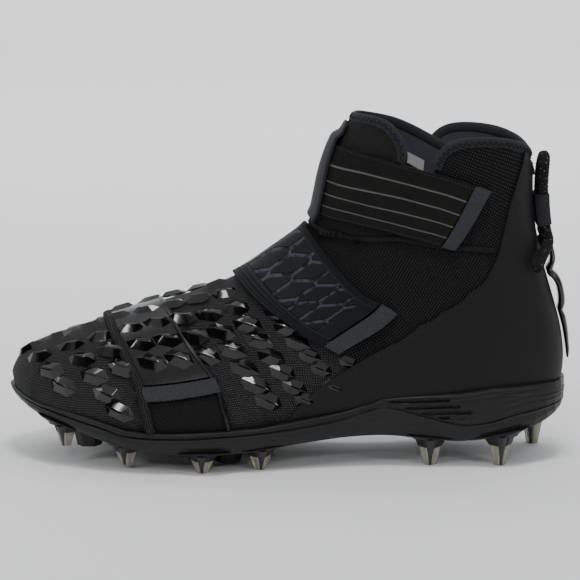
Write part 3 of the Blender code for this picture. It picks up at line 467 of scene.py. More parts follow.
blend = np.clip((TABLE_ROWS - 2.0) / 2.0, 0.0, 1.0)[:, None, None]
POINTS = POINTS * (1 - blend) + smeared(smeared(POINTS, 12), 12) * blend
reach_u, reach_v = 6, 2
wrapped = np.concatenate([POINTS[:, -1 - reach_v:-1], POINTS, POINTS[:, 1:1 + reach_v]], axis=1)
across = wrapped[:, 2 * reach_v:] - wrapped[:, :-2 * reach_v]
rows_up = np.minimum(np.arange(len(TABLE_ROWS)) + reach_u, len(TABLE_ROWS) - 1)
rows_down = np.maximum(np.arange(len(TABLE_ROWS)) - reach_u, 0)
NORMALS = unit(np.cross(POINTS[rows_up] - POINTS[rows_down], across))
NORMALS[:2] = (-1.0, 0.0, 0.0)
LENGTH_MM = lengths(POINTS[:, TOP // 2]) * 1000
GIRTH_MM = GIRTH * 1000


def looked_up(table, u, v):
    """Values of a table of the last between its rows and shares."""
    x = np.clip(np.asarray(u, float), 0.0, TABLE_ROWS[-1]) / ROW_STEP
    y = ((np.asarray(v, float) + 1.0) % 2.0) / SHARE_STEP
    i = np.clip(np.floor(x).astype(int), 0, len(TABLE_ROWS) - 2)
    j = np.clip(np.floor(y).astype(int), 0, len(TABLE_SHARES) - 2)
    f = (x - i)[:, None]
    g = (y - j)[:, None]
    return ((1 - f) * ((1 - g) * table[i, j] + g * table[i, j + 1])
            + f * ((1 - g) * table[i + 1, j] + g * table[i + 1, j + 1]))


def normal_at(u, v):
    """Outward directions of the last's surface."""
    return unit(looked_up(NORMALS, u, v))


def on_last(u, v, lift=0.0):
    """Points over the last's surface."""
    u = np.atleast_1d(np.asarray(u, float))
    v = np.broadcast_to(np.asarray(v, float), u.shape)
    lift = np.broadcast_to(np.asarray(lift, float), u.shape)
    return looked_up(POINTS, u, v) + normal_at(u, v) * lift[:, None]


def chart_at(u, v):
    """Millimetres around and along the foot, for patterns."""
    girth = np.interp(u, TABLE_ROWS, GIRTH_MM)
    return np.stack([np.asarray(v) * girth, np.interp(u, TABLE_ROWS, LENGTH_MM)], 1)


print("last ready:", POINTS.shape, "length over the side", round(float(LENGTH_MM[-1])), "mm")

# %% [markdown]
# Every soft layer of the shoe is a sheet on the last: a flat grid whose points are carried to
# their rows and girth shares and which then gets its thickness. The chart, a map in millimetres,
# goes with it, so that a weave keeps its size wherever the sheet bends.

# %% Sheets on the last


def points_of(mesh):
    """A mesh's points, one a row."""
    flat = np.empty(len(mesh.vertices) * 3)
    mesh.vertices.foreach_get("co", flat)
    return flat.reshape(-1, 3)


def flat_grid(name, columns, rows):
    """A flat grid, and each point's shares of its width and length."""
    clear_selection()
    bpy.ops.mesh.primitive_grid_add(x_subdivisions=columns, y_subdivisions=rows, size=1.0)
    piece = bpy.context.active_object
    piece.name = name
    shares = points_of(piece.data) + 0.5
    return piece, shares[:, 0].copy(), shares[:, 1].copy()


def piece_from(name, points, faces):
    """A new piece from its points and faces."""
    mesh = bpy.data.meshes.new(name)
    mesh.from_pydata([tuple(p) for p in points.reshape(-1, 3)], [], faces)
    return linked(name, mesh)


def open_mesh(piece):
    """Edit mode with all of the mesh selected."""
    take(piece)
    bpy.ops.object.mode_set(mode="EDIT")
    bpy.ops.mesh.select_all(action="SELECT")


def modify(piece, kind, **settings):
    """Adds a modifier with its settings and applies it."""
    made = piece.modifiers.new(kind, kind)
    for name, value in settings.items():
        setattr(made, name, value)
    bpy.ops.object.modifier_apply(modifier=kind)


def add_chart(mesh, values):
    """A chart in millimetres from a value at each point, in place of any other."""
    for name in [layer.name for layer in mesh.uv_layers]:
        mesh.uv_layers.remove(mesh.uv_layers[name])
    layer = mesh.uv_layers.new(name="chart")
    index = np.empty(len(mesh.loops), dtype=np.int32)
    mesh.loops.foreach_get("vertex_index", index)
    layer.data.foreach_set("uv", values[index].astype(np.float32).ravel())


def dress(node, finish):
    """Gives a solid that stays its finish."""
    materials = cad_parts[node].data.materials
    materials.clear()
    materials.append(finish)


def settle(piece, finishes, nodes=(), angle=35.0):
    """Finishes a piece: materials, shading, and the body it rides on."""
    take(piece)
    if list(piece.data.materials) != list(finishes):
        piece.data.materials.clear()
        for finish in finishes:
            piece.data.materials.append(finish)
    bpy.ops.object.shade_smooth_by_angle(angle=math.radians(angle))
    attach(piece, "root")
    if nodes:
        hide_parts(*nodes)
    print(piece.name, len(piece.data.polygons), "faces")
    return piece


def sheet_on_last(name, columns, rows, where, thickness, finishes, nodes=(), slot=None,
                  chart=None, rim=0.0, angle=35.0):
    """A grid laid on the last. where(s, t) gives row, share and lift for s, t from 0 to 1."""
    piece, s, t = flat_grid(name, columns, rows)
    mesh = piece.data
    for finish in finishes:
        mesh.materials.append(finish)
    u, v, lift = where(s, t)
    u = np.broadcast_to(u, s.shape)
    v = np.broadcast_to(v, s.shape)
    mesh.vertices.foreach_set("co", on_last(u, v, lift).ravel())
    add_chart(mesh, chart(s, t) if chart else chart_at(u, v))
    mesh.update()
    face = mesh.polygons[len(mesh.polygons) // 2 + columns // 2]
    corner = face.vertices[0]
    outward = normal_at(u[corner:corner + 1], v[corner:corner + 1])[0]
    open_mesh(piece)
    if face.normal.dot(Vector(outward)) < 0:
        bpy.ops.mesh.flip_normals()
    bpy.ops.mesh.remove_doubles(threshold=1e-6)
    bpy.ops.mesh.dissolve_degenerate(threshold=1e-6)
    bpy.ops.object.mode_set(mode="OBJECT")
    if thickness:
        modify(piece, "SOLIDIFY", thickness=abs(thickness), offset=math.copysign(1.0, thickness),
               use_even_offset=False, material_offset=len(finishes) - 1)
    if rim:
        modify(piece, "BEVEL", width=rim, segments=2, limit_method="ANGLE",
               angle_limit=math.radians(60))
    return settle(piece, finishes, nodes, angle)


def ramp(value, low, high):
    """0 below low, 1 above high, smooth between, on numbers."""
    t = np.clip((np.asarray(value, float) - low) / (high - low), 0.0, 1.0)
    return t * t * (3.0 - 2.0 * t)


print("sheet helper ready")

# %% [markdown]
# The vamp is a fine black net over foam. Two pale threads cross in it and catch the light as rows
# of dots. The finish draws both sets of threads as waves on the chart, the bump follows their
# height, and only the crests are paler.

# %% Woven finishes


def net(name, pitch, deep, crest, base, rough, tilt, dots):
    """A woven net: pitch in millimetres, depth of the holes, colours of crest and ground."""
    finish = Finish(name)
    around, along, _ = finish.chart()
    wobble = (finish.noise(6.0, 2.0) - 0.5) * 0.9
    x = (around + along * tilt + wobble) * (math.pi / pitch)
    y = (along - around * tilt + wobble) * (math.pi / pitch)
    height = abs(finish.sine(x) * finish.sine(y))
    grain = (finish.noise(2.2, 4.0) - 0.5) * 0.35
    thread = finish.step(height + grain, dots, dots + 0.2)
    finish.surface(Base_Color=finish.mix(thread, base, crest), Roughness=rough + 0.12 - thread * 0.22,
                   Normal=finish.bump(height, deep))
    return finish.material


TONGUE_NET = net("tongue_net", 0.85, 0.50, (0.050, 0.049, 0.045), (0.0090, 0.0090, 0.0090),
                 0.80, 0.0, 0.45)


def plain_cloth(name, colour, second, pitch, rough, deep=0.25):
    """A fine plain cloth."""
    finish = Finish(name)
    around, along, _ = finish.chart()
    weave = finish.sine(around * (math.pi / pitch)) * finish.sine(along * (math.pi / pitch))
    cloud = finish.noise(9.0, 4.0)
    finish.surface(Base_Color=finish.mix(cloud, colour, second), Roughness=rough,
                   Normal=finish.bump(weave * 0.5 + finish.noise(0.8, 2.0), deep))
    return finish.material


LINING = plain_cloth("slate_lining", (0.066, 0.069, 0.085), (0.050, 0.053, 0.067), 0.6, 0.92)
TAPE = plain_cloth("edge_tape", (0.036, 0.037, 0.041), (0.026, 0.027, 0.030), 0.5, 0.75)
THREAD = plain_cloth("thread", (0.048, 0.049, 0.054), (0.036, 0.037, 0.041), 0.3, 0.70, 0.1)
DARK_THREAD = plain_cloth("dark_thread", (0.013, 0.013, 0.014), (0.008, 0.008, 0.009), 0.3, 0.7, 0.1)
SEAM_THREAD = plain_cloth("seam_thread", (0.030, 0.030, 0.032), (0.020, 0.020, 0.022), 0.3, 0.7, 0.1)
print("cloth finishes ready")

# %% [markdown]
# The upper is one wall around the foot. Its top edge follows the seam over the instep, the slit on
# each side and the collar. Points past that edge are held on it and merged, which leaves a clean
# line without any cutting. Underneath it ends inside the sole's rim.

# %% Upper
UPPER_WALL = 0.0022
# Share of the half girth, row of the upper's top edge there
UPPER_EDGE = np.array((
    (0.000, 13.90), (0.100, 14.10), (0.167, 15.40), (0.317, 17.60), (0.400, 18.30),
    (0.430, 18.60), (0.452, 19.50), (0.465, 20.50), (0.475, 21.30), (0.479, 21.60),
    (0.492, 21.90), (0.522, 22.19), (0.570, 22.39), (0.650, 22.51), (0.750, 22.54),
    (0.850, 22.47), (0.930, 22.36), (1.000, 22.30),
))
# Share of the length, and the lower edge, rim, parting line and bed as shares of the body height
SOLE_PROFILE = (
    (0.000, 0.123, 0.187, 0.130, 0.140),
    (0.022, 0.090, 0.192, 0.127, 0.118),
    (0.051, 0.067, 0.194, 0.121, 0.103),
    (0.096, 0.047, 0.192, 0.107, 0.093),
    (0.140, 0.031, 0.188, 0.086, 0.090),
    (0.172, 0.025, 0.180, 0.078, 0.088),
    (0.204, 0.023, 0.174, 0.081, 0.088),
    (0.255, 0.028, 0.169, 0.104, 0.088),
    (0.300, 0.038, 0.163, 0.127, 0.088),
    (0.332, 0.041, 0.158, 0.135, 0.087),
    (0.358, 0.040, 0.140, 0.123, 0.085),
    (0.406, 0.035, 0.117, 0.097, 0.077),
    (0.477, 0.022, 0.097, 0.077, 0.061),
    (0.546, 0.006, 0.080, 0.067, 0.046),
    (0.616, 0.000, 0.075, 0.061, 0.038),
    (0.686, 0.000, 0.070, 0.056, 0.038),
    (0.779, 0.016, 0.075, 0.060, 0.054),
    (0.827, 0.035, 0.099, 0.081, 0.071),
    (0.900, 0.070, 0.124, 0.108, 0.106),
    (0.939, 0.088, 0.135, 0.121, 0.125),
    (0.967, 0.109, 0.146, 0.133, 0.143),
    (0.990, 0.131, 0.154, 0.145, 0.156),
    (1.000, 0.147, 0.156, 0.152, 0.167),
)
PROFILE = smooth_rows(SOLE_PROFILE, 12 * (len(SOLE_PROFILE) - 1) + 1)


def sole_level(a, column):
    """Z of a line of the sole's side: 1 lower edge, 2 rim, 3 parting line, 4 bed."""
    return STUD_LENGTH + np.interp(a, PROFILE[:, 0], PROFILE[:, column]) * BODY_HEIGHT


# The share at which each section passes below the sole's rim, where the visible wall ends
TUCKED = 0.005
LOW_SHARE = np.ones(len(TABLE_ROWS))
for i, section in enumerate(POINTS):
    found = []
    for half in (section[TOP:], section[TOP::-1]):
        below = half[:, 2] < sole_level((HEEL_X - half[:, 0]) / SOLE_LENGTH, 2) - TUCKED
        if below.any():
            found.append(TABLE_SHARES[TOP + int(np.argmax(below))])
    LOW_SHARE[i] = max(found, default=1.0)
LOW_SHARE[TABLE_ROWS < 3.0] = 1.0
UPPER_HIGHEST = 22.6
print("rows of the sole's side:", len(PROFILE))

# %% [markdown]
# The wall's finish goes from the fine net of the vamp to the coarse net of the cuff.

# %% Upper wall


def upper_at(s, t):
    """Row, share and lift of the upper's outer face."""
    u = t * UPPER_HIGHEST
    v = (2.0 * s - 1.0) * np.interp(u, TABLE_ROWS, LOW_SHARE)
    u = np.minimum(u, np.interp(np.abs(v), UPPER_EDGE[:, 0], UPPER_EDGE[:, 1]))
    return u, v, np.zeros_like(u)


def upper_finish():
    """The vamp's net, which turns into the cuff's coarse net over the ankle."""
    finish = Finish("upper_net")
    around, along, _ = finish.chart()
    wobble = (finish.noise(6.0, 2.0) - 0.5) * 0.9
    cuff = finish.step(along, 205.0, 215.0)
    def weave(tilt, pace):
        return abs(finish.sine((around + along * tilt + wobble) * pace)
                   * finish.sine((along - around * tilt + wobble) * pace))

    fine, coarse = weave(0.35, 3.3), weave(0.1, 2.1)
    height = fine * (1.0 - cuff) + coarse * cuff
    grain = (finish.noise(2.2, 4.0) - 0.5) * 0.35
    thread = finish.step(fine + grain, 0.60, 0.80)
    pale = finish.mix(thread, (0.0060, 0.0060, 0.0065), (0.115, 0.116, 0.121))
    dark = finish.mix(finish.step(coarse + grain, 0.45, 0.8), (0.0035, 0.0035, 0.0039),
                      (0.033, 0.033, 0.035))
    finish.surface(Base_Color=finish.mix(cuff, pale, dark),
                   Roughness=0.62 + cuff * 0.18, Normal=finish.bump(height, 0.6))
    return finish.material


# The lining shows behind and above these places
LINED_FROM_X = 0.048
LINED_FROM_Z = 0.146


def line_collar_only(piece):
    """Keeps the lining to the ankle: the foot's inside is the back of the net."""
    for polygon in piece.data.polygons:
        if polygon.center.x < LINED_FROM_X and polygon.center.z < LINED_FROM_Z:
            polygon.material_index = 0


UPPER_NET = upper_finish()
line_collar_only(sheet_on_last("upper_wall", 168, 226, upper_at, -UPPER_WALL, [UPPER_NET, LINING],
                               ("upper",), "black_mesh", angle=50.0))

# %% [markdown]
# The heel panel is a thin smooth film over the rear of the upper. Its front edge swings from the
# collar down to the waist of the sole. The film is matt with a very fine grain.

# %% Heel panel
# Row of the last, share of the half girth of the panel's front edge
PANEL_EDGE = np.array((
    (10.80, 0.735), (11.30, 0.672), (11.90, 0.633), (13.40, 0.550), (13.90, 0.531),
    (14.80, 0.492), (16.00, 0.500), (17.50, 0.575), (18.40, 0.642), (19.50, 0.712),
    (21.20, 0.795), (22.50, 0.862),
))


def matt_film(name, colour, rough):
    """A moulded film with a very fine grain and faint clouds."""
    finish = Finish(name)
    cloud = finish.noise(35.0, 4.0, 0.6)
    grain = finish.noise(0.6, 3.0, 0.7)
    lighter = tuple(c * 1.5 for c in colour)
    finish.surface(sheen=0.2, Base_Color=finish.mix(cloud, colour, lighter),
                   Roughness=rough - 0.08 + cloud * 0.16, Normal=finish.bump(grain, 0.05))
    return finish.material


PANEL_FILM = matt_film("panel_film", (0.0085, 0.0085, 0.0090), 0.58)
PANEL_LIFT = 0.0014
PANEL_LOW = 10.80
PANEL_TOP = (22.40, 21.90)


def panel_at(s, t):
    """Row, share and lift of the panel's outer face."""
    turn = 2.0 * s - 1.0
    u = PANEL_LOW + t * (PANEL_TOP[0] - PANEL_LOW)
    edge = np.interp(u, *PANEL_EDGE.T)
    v = 1.0 - (1.0 - edge) * np.abs(turn)
    top = PANEL_TOP[1] + (PANEL_TOP[0] - PANEL_TOP[1]) * ramp(1.0 - v, 0.02, 0.14)
    return np.minimum(u, top), np.where(turn < 0, -v, v), PANEL_LIFT


sheet_on_last("heel_panel_film", 150, 170, panel_at, -0.0010, [PANEL_FILM], ("heel_panel",),
              "matte_black_skin", rim=0.0003)

# %% [markdown]
# The tongue flap covers the instep and the front of the ankle. On the inner side it slips inside
# the rear cuff, so its lift falls there.

# %% Tongue flap
BINDING_RADIUS = 0.0021
TONGUE_WALL = 0.0020
TUCK = 0.5 * UPPER_WALL + 2.0 * BINDING_RADIUS - 0.5 * TONGUE_WALL + 0.0006
FLAP_SIDES = (-0.345, 0.570)
FLAP_TOP = np.array((
    (-0.345, 20.60), (-0.335, 21.20), (-0.325, 21.58), (-0.296, 21.98), (-0.258, 22.29),
    (-0.200, 22.41), (-0.130, 22.35), (-0.060, 22.23), (0.000, 22.15), (0.060, 22.19),
    (0.140, 22.19), (0.220, 22.13), (0.300, 22.03), (0.380, 21.88), (0.450, 21.73),
    (0.520, 21.61), (0.570, 21.53),
))
FLAP_FOOT = np.array((
    (-0.345, 17.55), (-0.317, 17.25), (-0.167, 15.05), (-0.100, 13.75), (0.000, 13.52),
    (0.100, 13.75), (0.167, 15.05), (0.317, 17.25), (0.400, 17.95), (0.570, 18.40),
))


def tuck(v):
    """Lift of the flap's outer face, which slips inside the rear cuff on the inner side."""
    return -TUCK * ramp(v, 0.07, 0.27)


def flap_at(s, t):
    """Row, share and lift of the flap's outer face."""
    v = FLAP_SIDES[0] + s * (FLAP_SIDES[1] - FLAP_SIDES[0])
    foot, top = np.interp(v, *FLAP_FOOT.T), np.interp(v, *FLAP_TOP.T)
    u = foot + (top - foot) * t
    return u, v, np.minimum(tuck(v), -0.0004 * (1.0 - ramp(u - foot, 0.4, 0.9)))


line_collar_only(sheet_on_last("tongue_sheet", 90, 90, flap_at, -TONGUE_WALL,
                               [TONGUE_NET, LINING], ("tongue_flap",), "black_mesh"))

# %% [markdown]
# The plan of the sole is one closed loop around the shoe. The bands of its side are built on it.

# %% Sole outline
# Share of the length, outer and inner edge of the plan as shares of the local width
SOLE_OUTLINE = (
    (0.000, 0.000, 0.000),
    (0.010, -0.200, 0.200),
    (0.029, -0.320, 0.327),
    (0.064, -0.427, 0.420),
    (0.115, -0.487, 0.467),
    (0.179, -0.507, 0.473),
    (0.259, -0.500, 0.440),
    (0.338, -0.500, 0.393),
    (0.418, -0.507, 0.368),
    (0.498, -0.491, 0.360),
    (0.578, -0.489, 0.397),
    (0.658, -0.506, 0.460),
    (0.738, -0.502, 0.493),
    (0.817, -0.447, 0.483),
    (0.881, -0.360, 0.431),
    (0.929, -0.265, 0.360),
    (0.961, -0.175, 0.289),
    (0.983, -0.076, 0.209),
    (0.996, 0.009, 0.137),
    (1.000, 0.071, 0.071),
)
OUTLINE = smooth_rows(SOLE_OUTLINE, 12 * (len(SOLE_OUTLINE) - 1) + 1)


def outline_loop(count):
    """Plan of the sole as one closed loop: place, inward direction, share of the length, side."""
    outer = np.stack([OUTLINE[:, 0], OUTLINE[:, 1]], 1)
    inner = np.stack([OUTLINE[:, 0], OUTLINE[:, 2]], 1)[::-1]
    both = np.concatenate([outer, inner[1:-1]])
    xy = np.stack([HEEL_X - both[:, 0] * SOLE_LENGTH,
                   both[:, 1] * local_width(both[:, 0]) + MIDDLE_Y], 1)
    closed = np.concatenate([xy, xy[:1]])
    run = lengths(closed)
    at = np.arange(count) / count * run[-1]
    loop = columns_at(at, run, closed)
    for _ in range(3):
        loop = 0.25 * np.roll(loop, 1, 0) + 0.5 * loop + 0.25 * np.roll(loop, -1, 0)
    ahead = np.roll(loop, -1, 0) - np.roll(loop, 1, 0)
    inward = unit(np.stack([-ahead[:, 1], ahead[:, 0]], 1))
    if np.mean(np.sum(inward * ((0.0, MIDDLE_Y) - loop), 1)) < 0:
        inward = -inward
    share = (HEEL_X - loop[:, 0]) / SOLE_LENGTH
    side = np.where(loop[:, 1] < MIDDLE_Y, -1, 1)
    return loop, inward, np.clip(share, 0.0, 1.0), side, at * 1000


LOOP_COUNT = 520
LOOP, INWARD, LOOP_SHARE, LOOP_SIDE, LOOP_RUN = outline_loop(LOOP_COUNT)


def sole_band(name, profile, finishes, nodes=(), angle=30.0):
    """A band around the sole. profile(a, side) gives inset, height and chart height of each line."""
    insets, heights = profile(LOOP_SHARE, LOOP_SIDE)
    lines = len(insets)
    points = np.zeros((lines, LOOP_COUNT, 3))
    for k in range(lines):
        points[k, :, :2] = LOOP + INWARD * np.asarray(insets[k])[:, None]
        points[k, :, 2] = heights[k]
    faces = [(k * LOOP_COUNT + j, k * LOOP_COUNT + (j + 1) % LOOP_COUNT,
              (k + 1) * LOOP_COUNT + (j + 1) % LOOP_COUNT, (k + 1) * LOOP_COUNT + j)
             for k in range(lines - 1) for j in range(LOOP_COUNT)]
    piece = piece_from(name, points, faces)
    add_chart(piece.data, np.stack([np.tile(LOOP_RUN, lines), points[:, :, 2].ravel() * 1000], 1))
    open_mesh(piece)
    bpy.ops.mesh.normals_make_consistent(inside=False)
    bpy.ops.object.mode_set(mode="OBJECT")
    return settle(piece, finishes, nodes, angle)


print("loop of", LOOP_COUNT, "places")

# %% [markdown]
# The sole's foam layer keeps its solid, and a moulded side goes over it with the details that a
# mould gives: a rounded rim, four staggered grooves on the outer side and stacked ribs around the
# heel.

# %% Midsole side
SIDE_LEAN = BALL_WIDTH * 0.006
SKIN_OUT = 0.0004
# Start and end share of the length, start and end share of the body height, height of a groove
GROOVES = (
    (0.320, 0.215, 0.1440, 0.1500, 0.0090),
    (0.292, 0.196, 0.1235, 0.1310, 0.0090),
    (0.262, 0.176, 0.1070, 0.1130, 0.0100),
    (0.232, 0.190, 0.0945, 0.0965, 0.0080),
)
GROOVE_DEEP = 0.0017
SIDE_LINES = 34


def midsole_side(a, side):
    """Lines of the foam's side from the parting line to the rim and in over it."""
    low = sole_level(a, 3)
    rim = sole_level(a, 2)
    heel = ramp(1.0 - a, 0.86, 0.95)
    insets = [SIDE_LEAN + 0.0016 + 0 * a]
    heights = [low + 0.0001 + 0 * a]
    for k in range(SIDE_LINES):
        t = k / (SIDE_LINES - 1)
        lean = SIDE_LEAN * (1.0 - 4.0 * t * (1.0 - t)) - SKIN_OUT
        round_in = 0.0011 * np.clip((t - 0.88) / 0.12, 0.0, 1.0) ** 2
        round_low = 0.0005 * np.clip((0.06 - t) / 0.06, 0.0, 1.0) ** 2
        z = low + (rim - low) * t
        ribs = 0.0010 * heel * (0.5 - 0.5 * np.cos(2 * math.pi * 4.5 * t)) * ramp(0.97 - t, 0, 0.1)
        line = 0.0005 * np.exp(-((z - (rim - 0.0032)) / 0.0005) ** 2)
        groove = np.zeros_like(a)
        for a0, a1, s0, s1, tall in GROOVES:
            share = np.clip((a0 - a) / (a0 - a1), 0.0, 1.0)
            mid = STUD_LENGTH + (s0 + (s1 - s0) * share + 0.5 * tall) * BODY_HEIGHT
            half = 0.5 * tall * BODY_HEIGHT * np.minimum(1.0, 6.0 * share + 0.1)
            near = ramp(1.0 - np.abs(z - mid) / np.maximum(half, 1e-6), -0.15, 0.35)
            inside = (a < a0) & (a > a1) & (side < 0)
            groove = np.maximum(groove, near * inside)
        insets.append(lean + round_in + round_low + ribs + line + GROOVE_DEEP * groove)
        heights.append(z)
    insets.append(SIDE_LEAN + 0.0024 + 0 * a)
    heights.append(rim + 0.0004)
    insets.append(SIDE_LEAN + 0.0060 + 0 * a)
    heights.append(rim + 0.0001)
    return insets, heights


def moulded(name, colour, rough):
    """Moulded foam or plastic: a fine grain, faint scuffs and slightly uneven gloss."""
    finish = Finish(name)
    x, y, z = finish.place()
    scuffs = finish.noise(1.0, 3.0, 0.6, finish.join(x * 0.12, y * 0.12, z * 1.3))
    cloud = finish.noise(22.0, 4.0, 0.6)
    lighter = tuple(c * 1.6 for c in colour)
    finish.surface(sheen=0.3, Base_Color=finish.mix(finish.step(scuffs, 0.45, 0.75), colour, lighter),
                   Roughness=rough - 0.07 + cloud * 0.15,
                   Normal=finish.bump(finish.noise(0.5, 2.0) + scuffs * 0.6, 0.06))
    return finish.material


FOAM = moulded("sole_foam", (0.0085, 0.0085, 0.0092), 0.45)
PLATE = moulded("sole_plate", (0.0100, 0.0100, 0.0108), 0.36)
sole_band("midsole_side", midsole_side, [FOAM])
dress("midsole", FOAM)

# %% [markdown]
# The plate under the foam is a hard moulding. Its side rolls in under the foot, and its upper edge
# rises into the wings at the heel.

# %% Plate
EDGE_ROUND = BALL_WIDTH * 0.020


def plate_side(a, side):
    """Lines of the plate from its top edge, down the side and in along the underside."""
    low = sole_level(a, 1)
    part = sole_level(a, 3) - 0.0006
    tall = part - low
    room = np.interp(a, [0.0, 0.02, 0.08, 0.92, 0.98, 1.0], [0.2, 0.5, 1.0, 1.0, 0.5, 0.2])
    insets = [SIDE_LEAN + 0.004 * room, SIDE_LEAN + 0.0002 + 0 * a, SIDE_LEAN - 0.0004 + 0 * a]
    heights = [part, part, part - 0.0004]
    for t in (0.95, 0.88, 0.80, 0.70, 0.60, 0.50, 0.40, 0.30, 0.20, 0.12, 0.06, 0.02, 0.0):
        roll = EDGE_ROUND * 1.5 * (1.0 - t) ** 2.2 * room
        waist = 0.0010 * np.exp(-((t - 0.72) / 0.10) ** 2)
        insets.append(SIDE_LEAN - SKIN_OUT + roll + waist * np.clip(tall / 0.006, 0.0, 1.0))
        heights.append(low + tall * t)
    for step in (0.006, 0.009, 0.012):
        insets.append(step * room + 0 * a)
        heights.append(low + 0.0002 + 0 * a)
    return insets, heights


sole_band("plate_side", plate_side, [PLATE])
dress("outsole_plate", PLATE)

# %% [markdown]
# Cords, tapes and loops are shaped grids too: one side of the grid goes around the section and is
# closed by a merge, the other runs along the path, and the two open ends are filled.

# %% Shaped grids


def shaped_grid(name, columns, rows, place, chart, finishes, nodes=(), angle=40.0,
                filled=True):
    """A grid carried to place(s, t), merged where it meets itself, with its ends filled."""
    piece, s, t = flat_grid(name, columns, rows)
    piece.data.vertices.foreach_set("co", place(s, t).ravel())
    add_chart(piece.data, chart(s, t))
    piece.data.update()
    open_mesh(piece)
    bpy.ops.mesh.remove_doubles(threshold=1e-6)
    if filled:
        bpy.ops.mesh.fill_holes(sides=0)
        bpy.ops.mesh.select_all(action="SELECT")
    bpy.ops.mesh.normals_make_consistent(inside=False)
    bpy.ops.object.mode_set(mode="OBJECT")
    return settle(piece, finishes, nodes, angle)


def along_line(points, t):
    """Points, directions and millimetres along a line, at shares of its length."""
    run = lengths(points)
    at = t * run[-1]
    step = run[-1] * 0.004
    ahead = (columns_at(np.minimum(at + step, run[-1]), run, points)
             - columns_at(np.maximum(at - step, 0.0), run, points))
    return columns_at(at, run, points), unit(ahead), at * 1000


print("grid helper ready")

# %% [markdown]
# A tape is such a grid around a path over the last.

# %% Tapes


def bent(wave, power):
    """A wave from -1 to 1 with flatter crests, which squares a round section."""
    return np.sign(wave) * np.abs(wave) ** power


def laid(path, count, lift):
    """A path over the last: its rows and shares, points and outward directions."""
    line = smooth_rows(path, count)
    u, v = line.T
    return line, on_last(u, v, lift(u, v) if callable(lift) else lift), normal_at(u, v)


def tape_on_last(name, path, lift, wide, tall, finishes, nodes=(), rows=160, shift=0.0):
    """A flattened roll along a path over the last, wide across it and tall off it."""
    _, centres, outs = laid(path, 400, lift)

    def place(s, t):
        spot, ahead, _ = along_line(centres, t)
        out = columns_at(t, np.linspace(0, 1, len(outs)), outs)
        turn = 2 * math.pi * s
        x = (bent(np.cos(turn), 0.8) * wide + shift)[:, None]
        y = (bent(np.sin(turn), 0.8) * tall)[:, None]
        return spot + unit(np.cross(ahead, out)) * x + out * y

    return shaped_grid(name, 14, rows, place,
                       lambda s, t: np.stack([s * 12.0, t * lengths(centres)[-1] * 1000], 1),
                       finishes, nodes)


print("tape helper ready")

# %% [markdown]
# A seam is many copies of one small stitch. The copies stand in a row along a path.

# %% Stitches


def in_order(mesh):
    """A mesh's points and faces in an order that is the same in every run."""
    points = points_of(mesh)
    order = np.lexsort(np.round(points, 6).T)
    rank = np.argsort(order)
    rings = [[int(rank[i]) for i in face.vertices] for face in mesh.polygons]
    starts = [ring.index(min(ring)) for ring in rings]
    return points[order], sorted(ring[k:] + ring[:k] for ring, k in zip(rings, starts))


def scatter(name, model, places, finish, angle=30.0):
    """Many copies of a model's points and faces as one piece; places gives the copies' points."""
    shape, rings = model
    copies = places(shape)
    faces = [[i + k * len(shape) for i in ring] for k in range(len(copies)) for ring in rings]
    verts = np.concatenate(copies)
    piece = piece_from(name, verts, faces)
    add_chart(piece.data, verts[:, [0, 2]] * 1000)
    return settle(piece, [finish], (), angle)


clear_selection()
bpy.ops.mesh.primitive_uv_sphere_add(segments=6, ring_count=4, radius=1.0)
stitch_model = bpy.context.active_object
STITCH = in_order(stitch_model.data)
bpy.data.objects.remove(stitch_model, do_unlink=True)


def stitches(name, starts, ends, outs, thick, finish):
    """Thread stitches between pairs of points, slightly sunk at both ends."""
    def places(shape):
        made = []
        for start, end, out in zip(starts, ends, outs):
            middle = 0.5 * (start + end)
            ahead = 0.5 * (end - start)
            side = np.cross(ahead, out)
            side /= max(np.linalg.norm(side), 1e-12)
            made.append(middle + shape[:, :1] * side * thick + shape[:, 1:2] * out * thick * 0.8
                        + shape[:, 2:3] * ahead)
        return made
    return scatter(name, STITCH, places, finish)


# Share of its pitch that a stitch fills
STITCH_FILL = 0.72


def run_on_last(path, lift, pitch):
    """Starts, ends and outward directions of a straight row of stitches along a path."""
    line, points, _ = laid(path, 600, lift)
    run = lengths(points)
    count = max(int(run[-1] / pitch), 2)
    begin = (np.arange(count) + 0.5 * (1 - STITCH_FILL)) * run[-1] / count
    finish = begin + STITCH_FILL * run[-1] / count
    outs = normal_at(*columns_at(begin, run, line).T)
    return columns_at(begin, run, points), columns_at(finish, run, points), outs


print("stitch helpers ready")

# %% [markdown]
# The cuff and the flap are bound with a grey tape that is folded over the edge. A zigzag of
# thread holds it down.

# %% Edge bindings
COLLAR_HALF = (
    (21.36, -0.475), (21.66, -0.479), (21.95, -0.492), (22.25, -0.522),
    (22.45, -0.570), (22.57, -0.650), (22.60, -0.750), (22.53, -0.850), (22.42, -0.930),
    (22.36, -1.000),
)
COLLAR_PATH = COLLAR_HALF + tuple((u, -2.0 - v) for u, v in COLLAR_HALF[-2::-1])
FLAP_OUTER = (
    (22.22, 0.000), (22.30, -0.060), (22.42, -0.130), (22.48, -0.200), (22.36, -0.258),
    (22.05, -0.296), (21.65, -0.325), (21.30, -0.335), (21.05, -0.332),
)
FLAP_INNER = (
    (22.22, 0.000), (22.26, 0.060), (22.26, 0.140), (22.20, 0.220), (22.10, 0.300),
    (21.95, 0.380), (21.80, 0.450), (21.68, 0.520), (21.60, 0.570),
)
FLAP_PATH = tuple(FLAP_OUTER[::-1]) + tuple(FLAP_INNER[1:])
TAPE_HALF = 0.0030
TAPE_THICK = 0.0017
TAPE_SHIFT = TAPE_HALF - BINDING_RADIUS


def flap_middle(u, v):
    """Lift of the middle of the flap's wall."""
    return tuck(v) - 0.5 * TONGUE_WALL


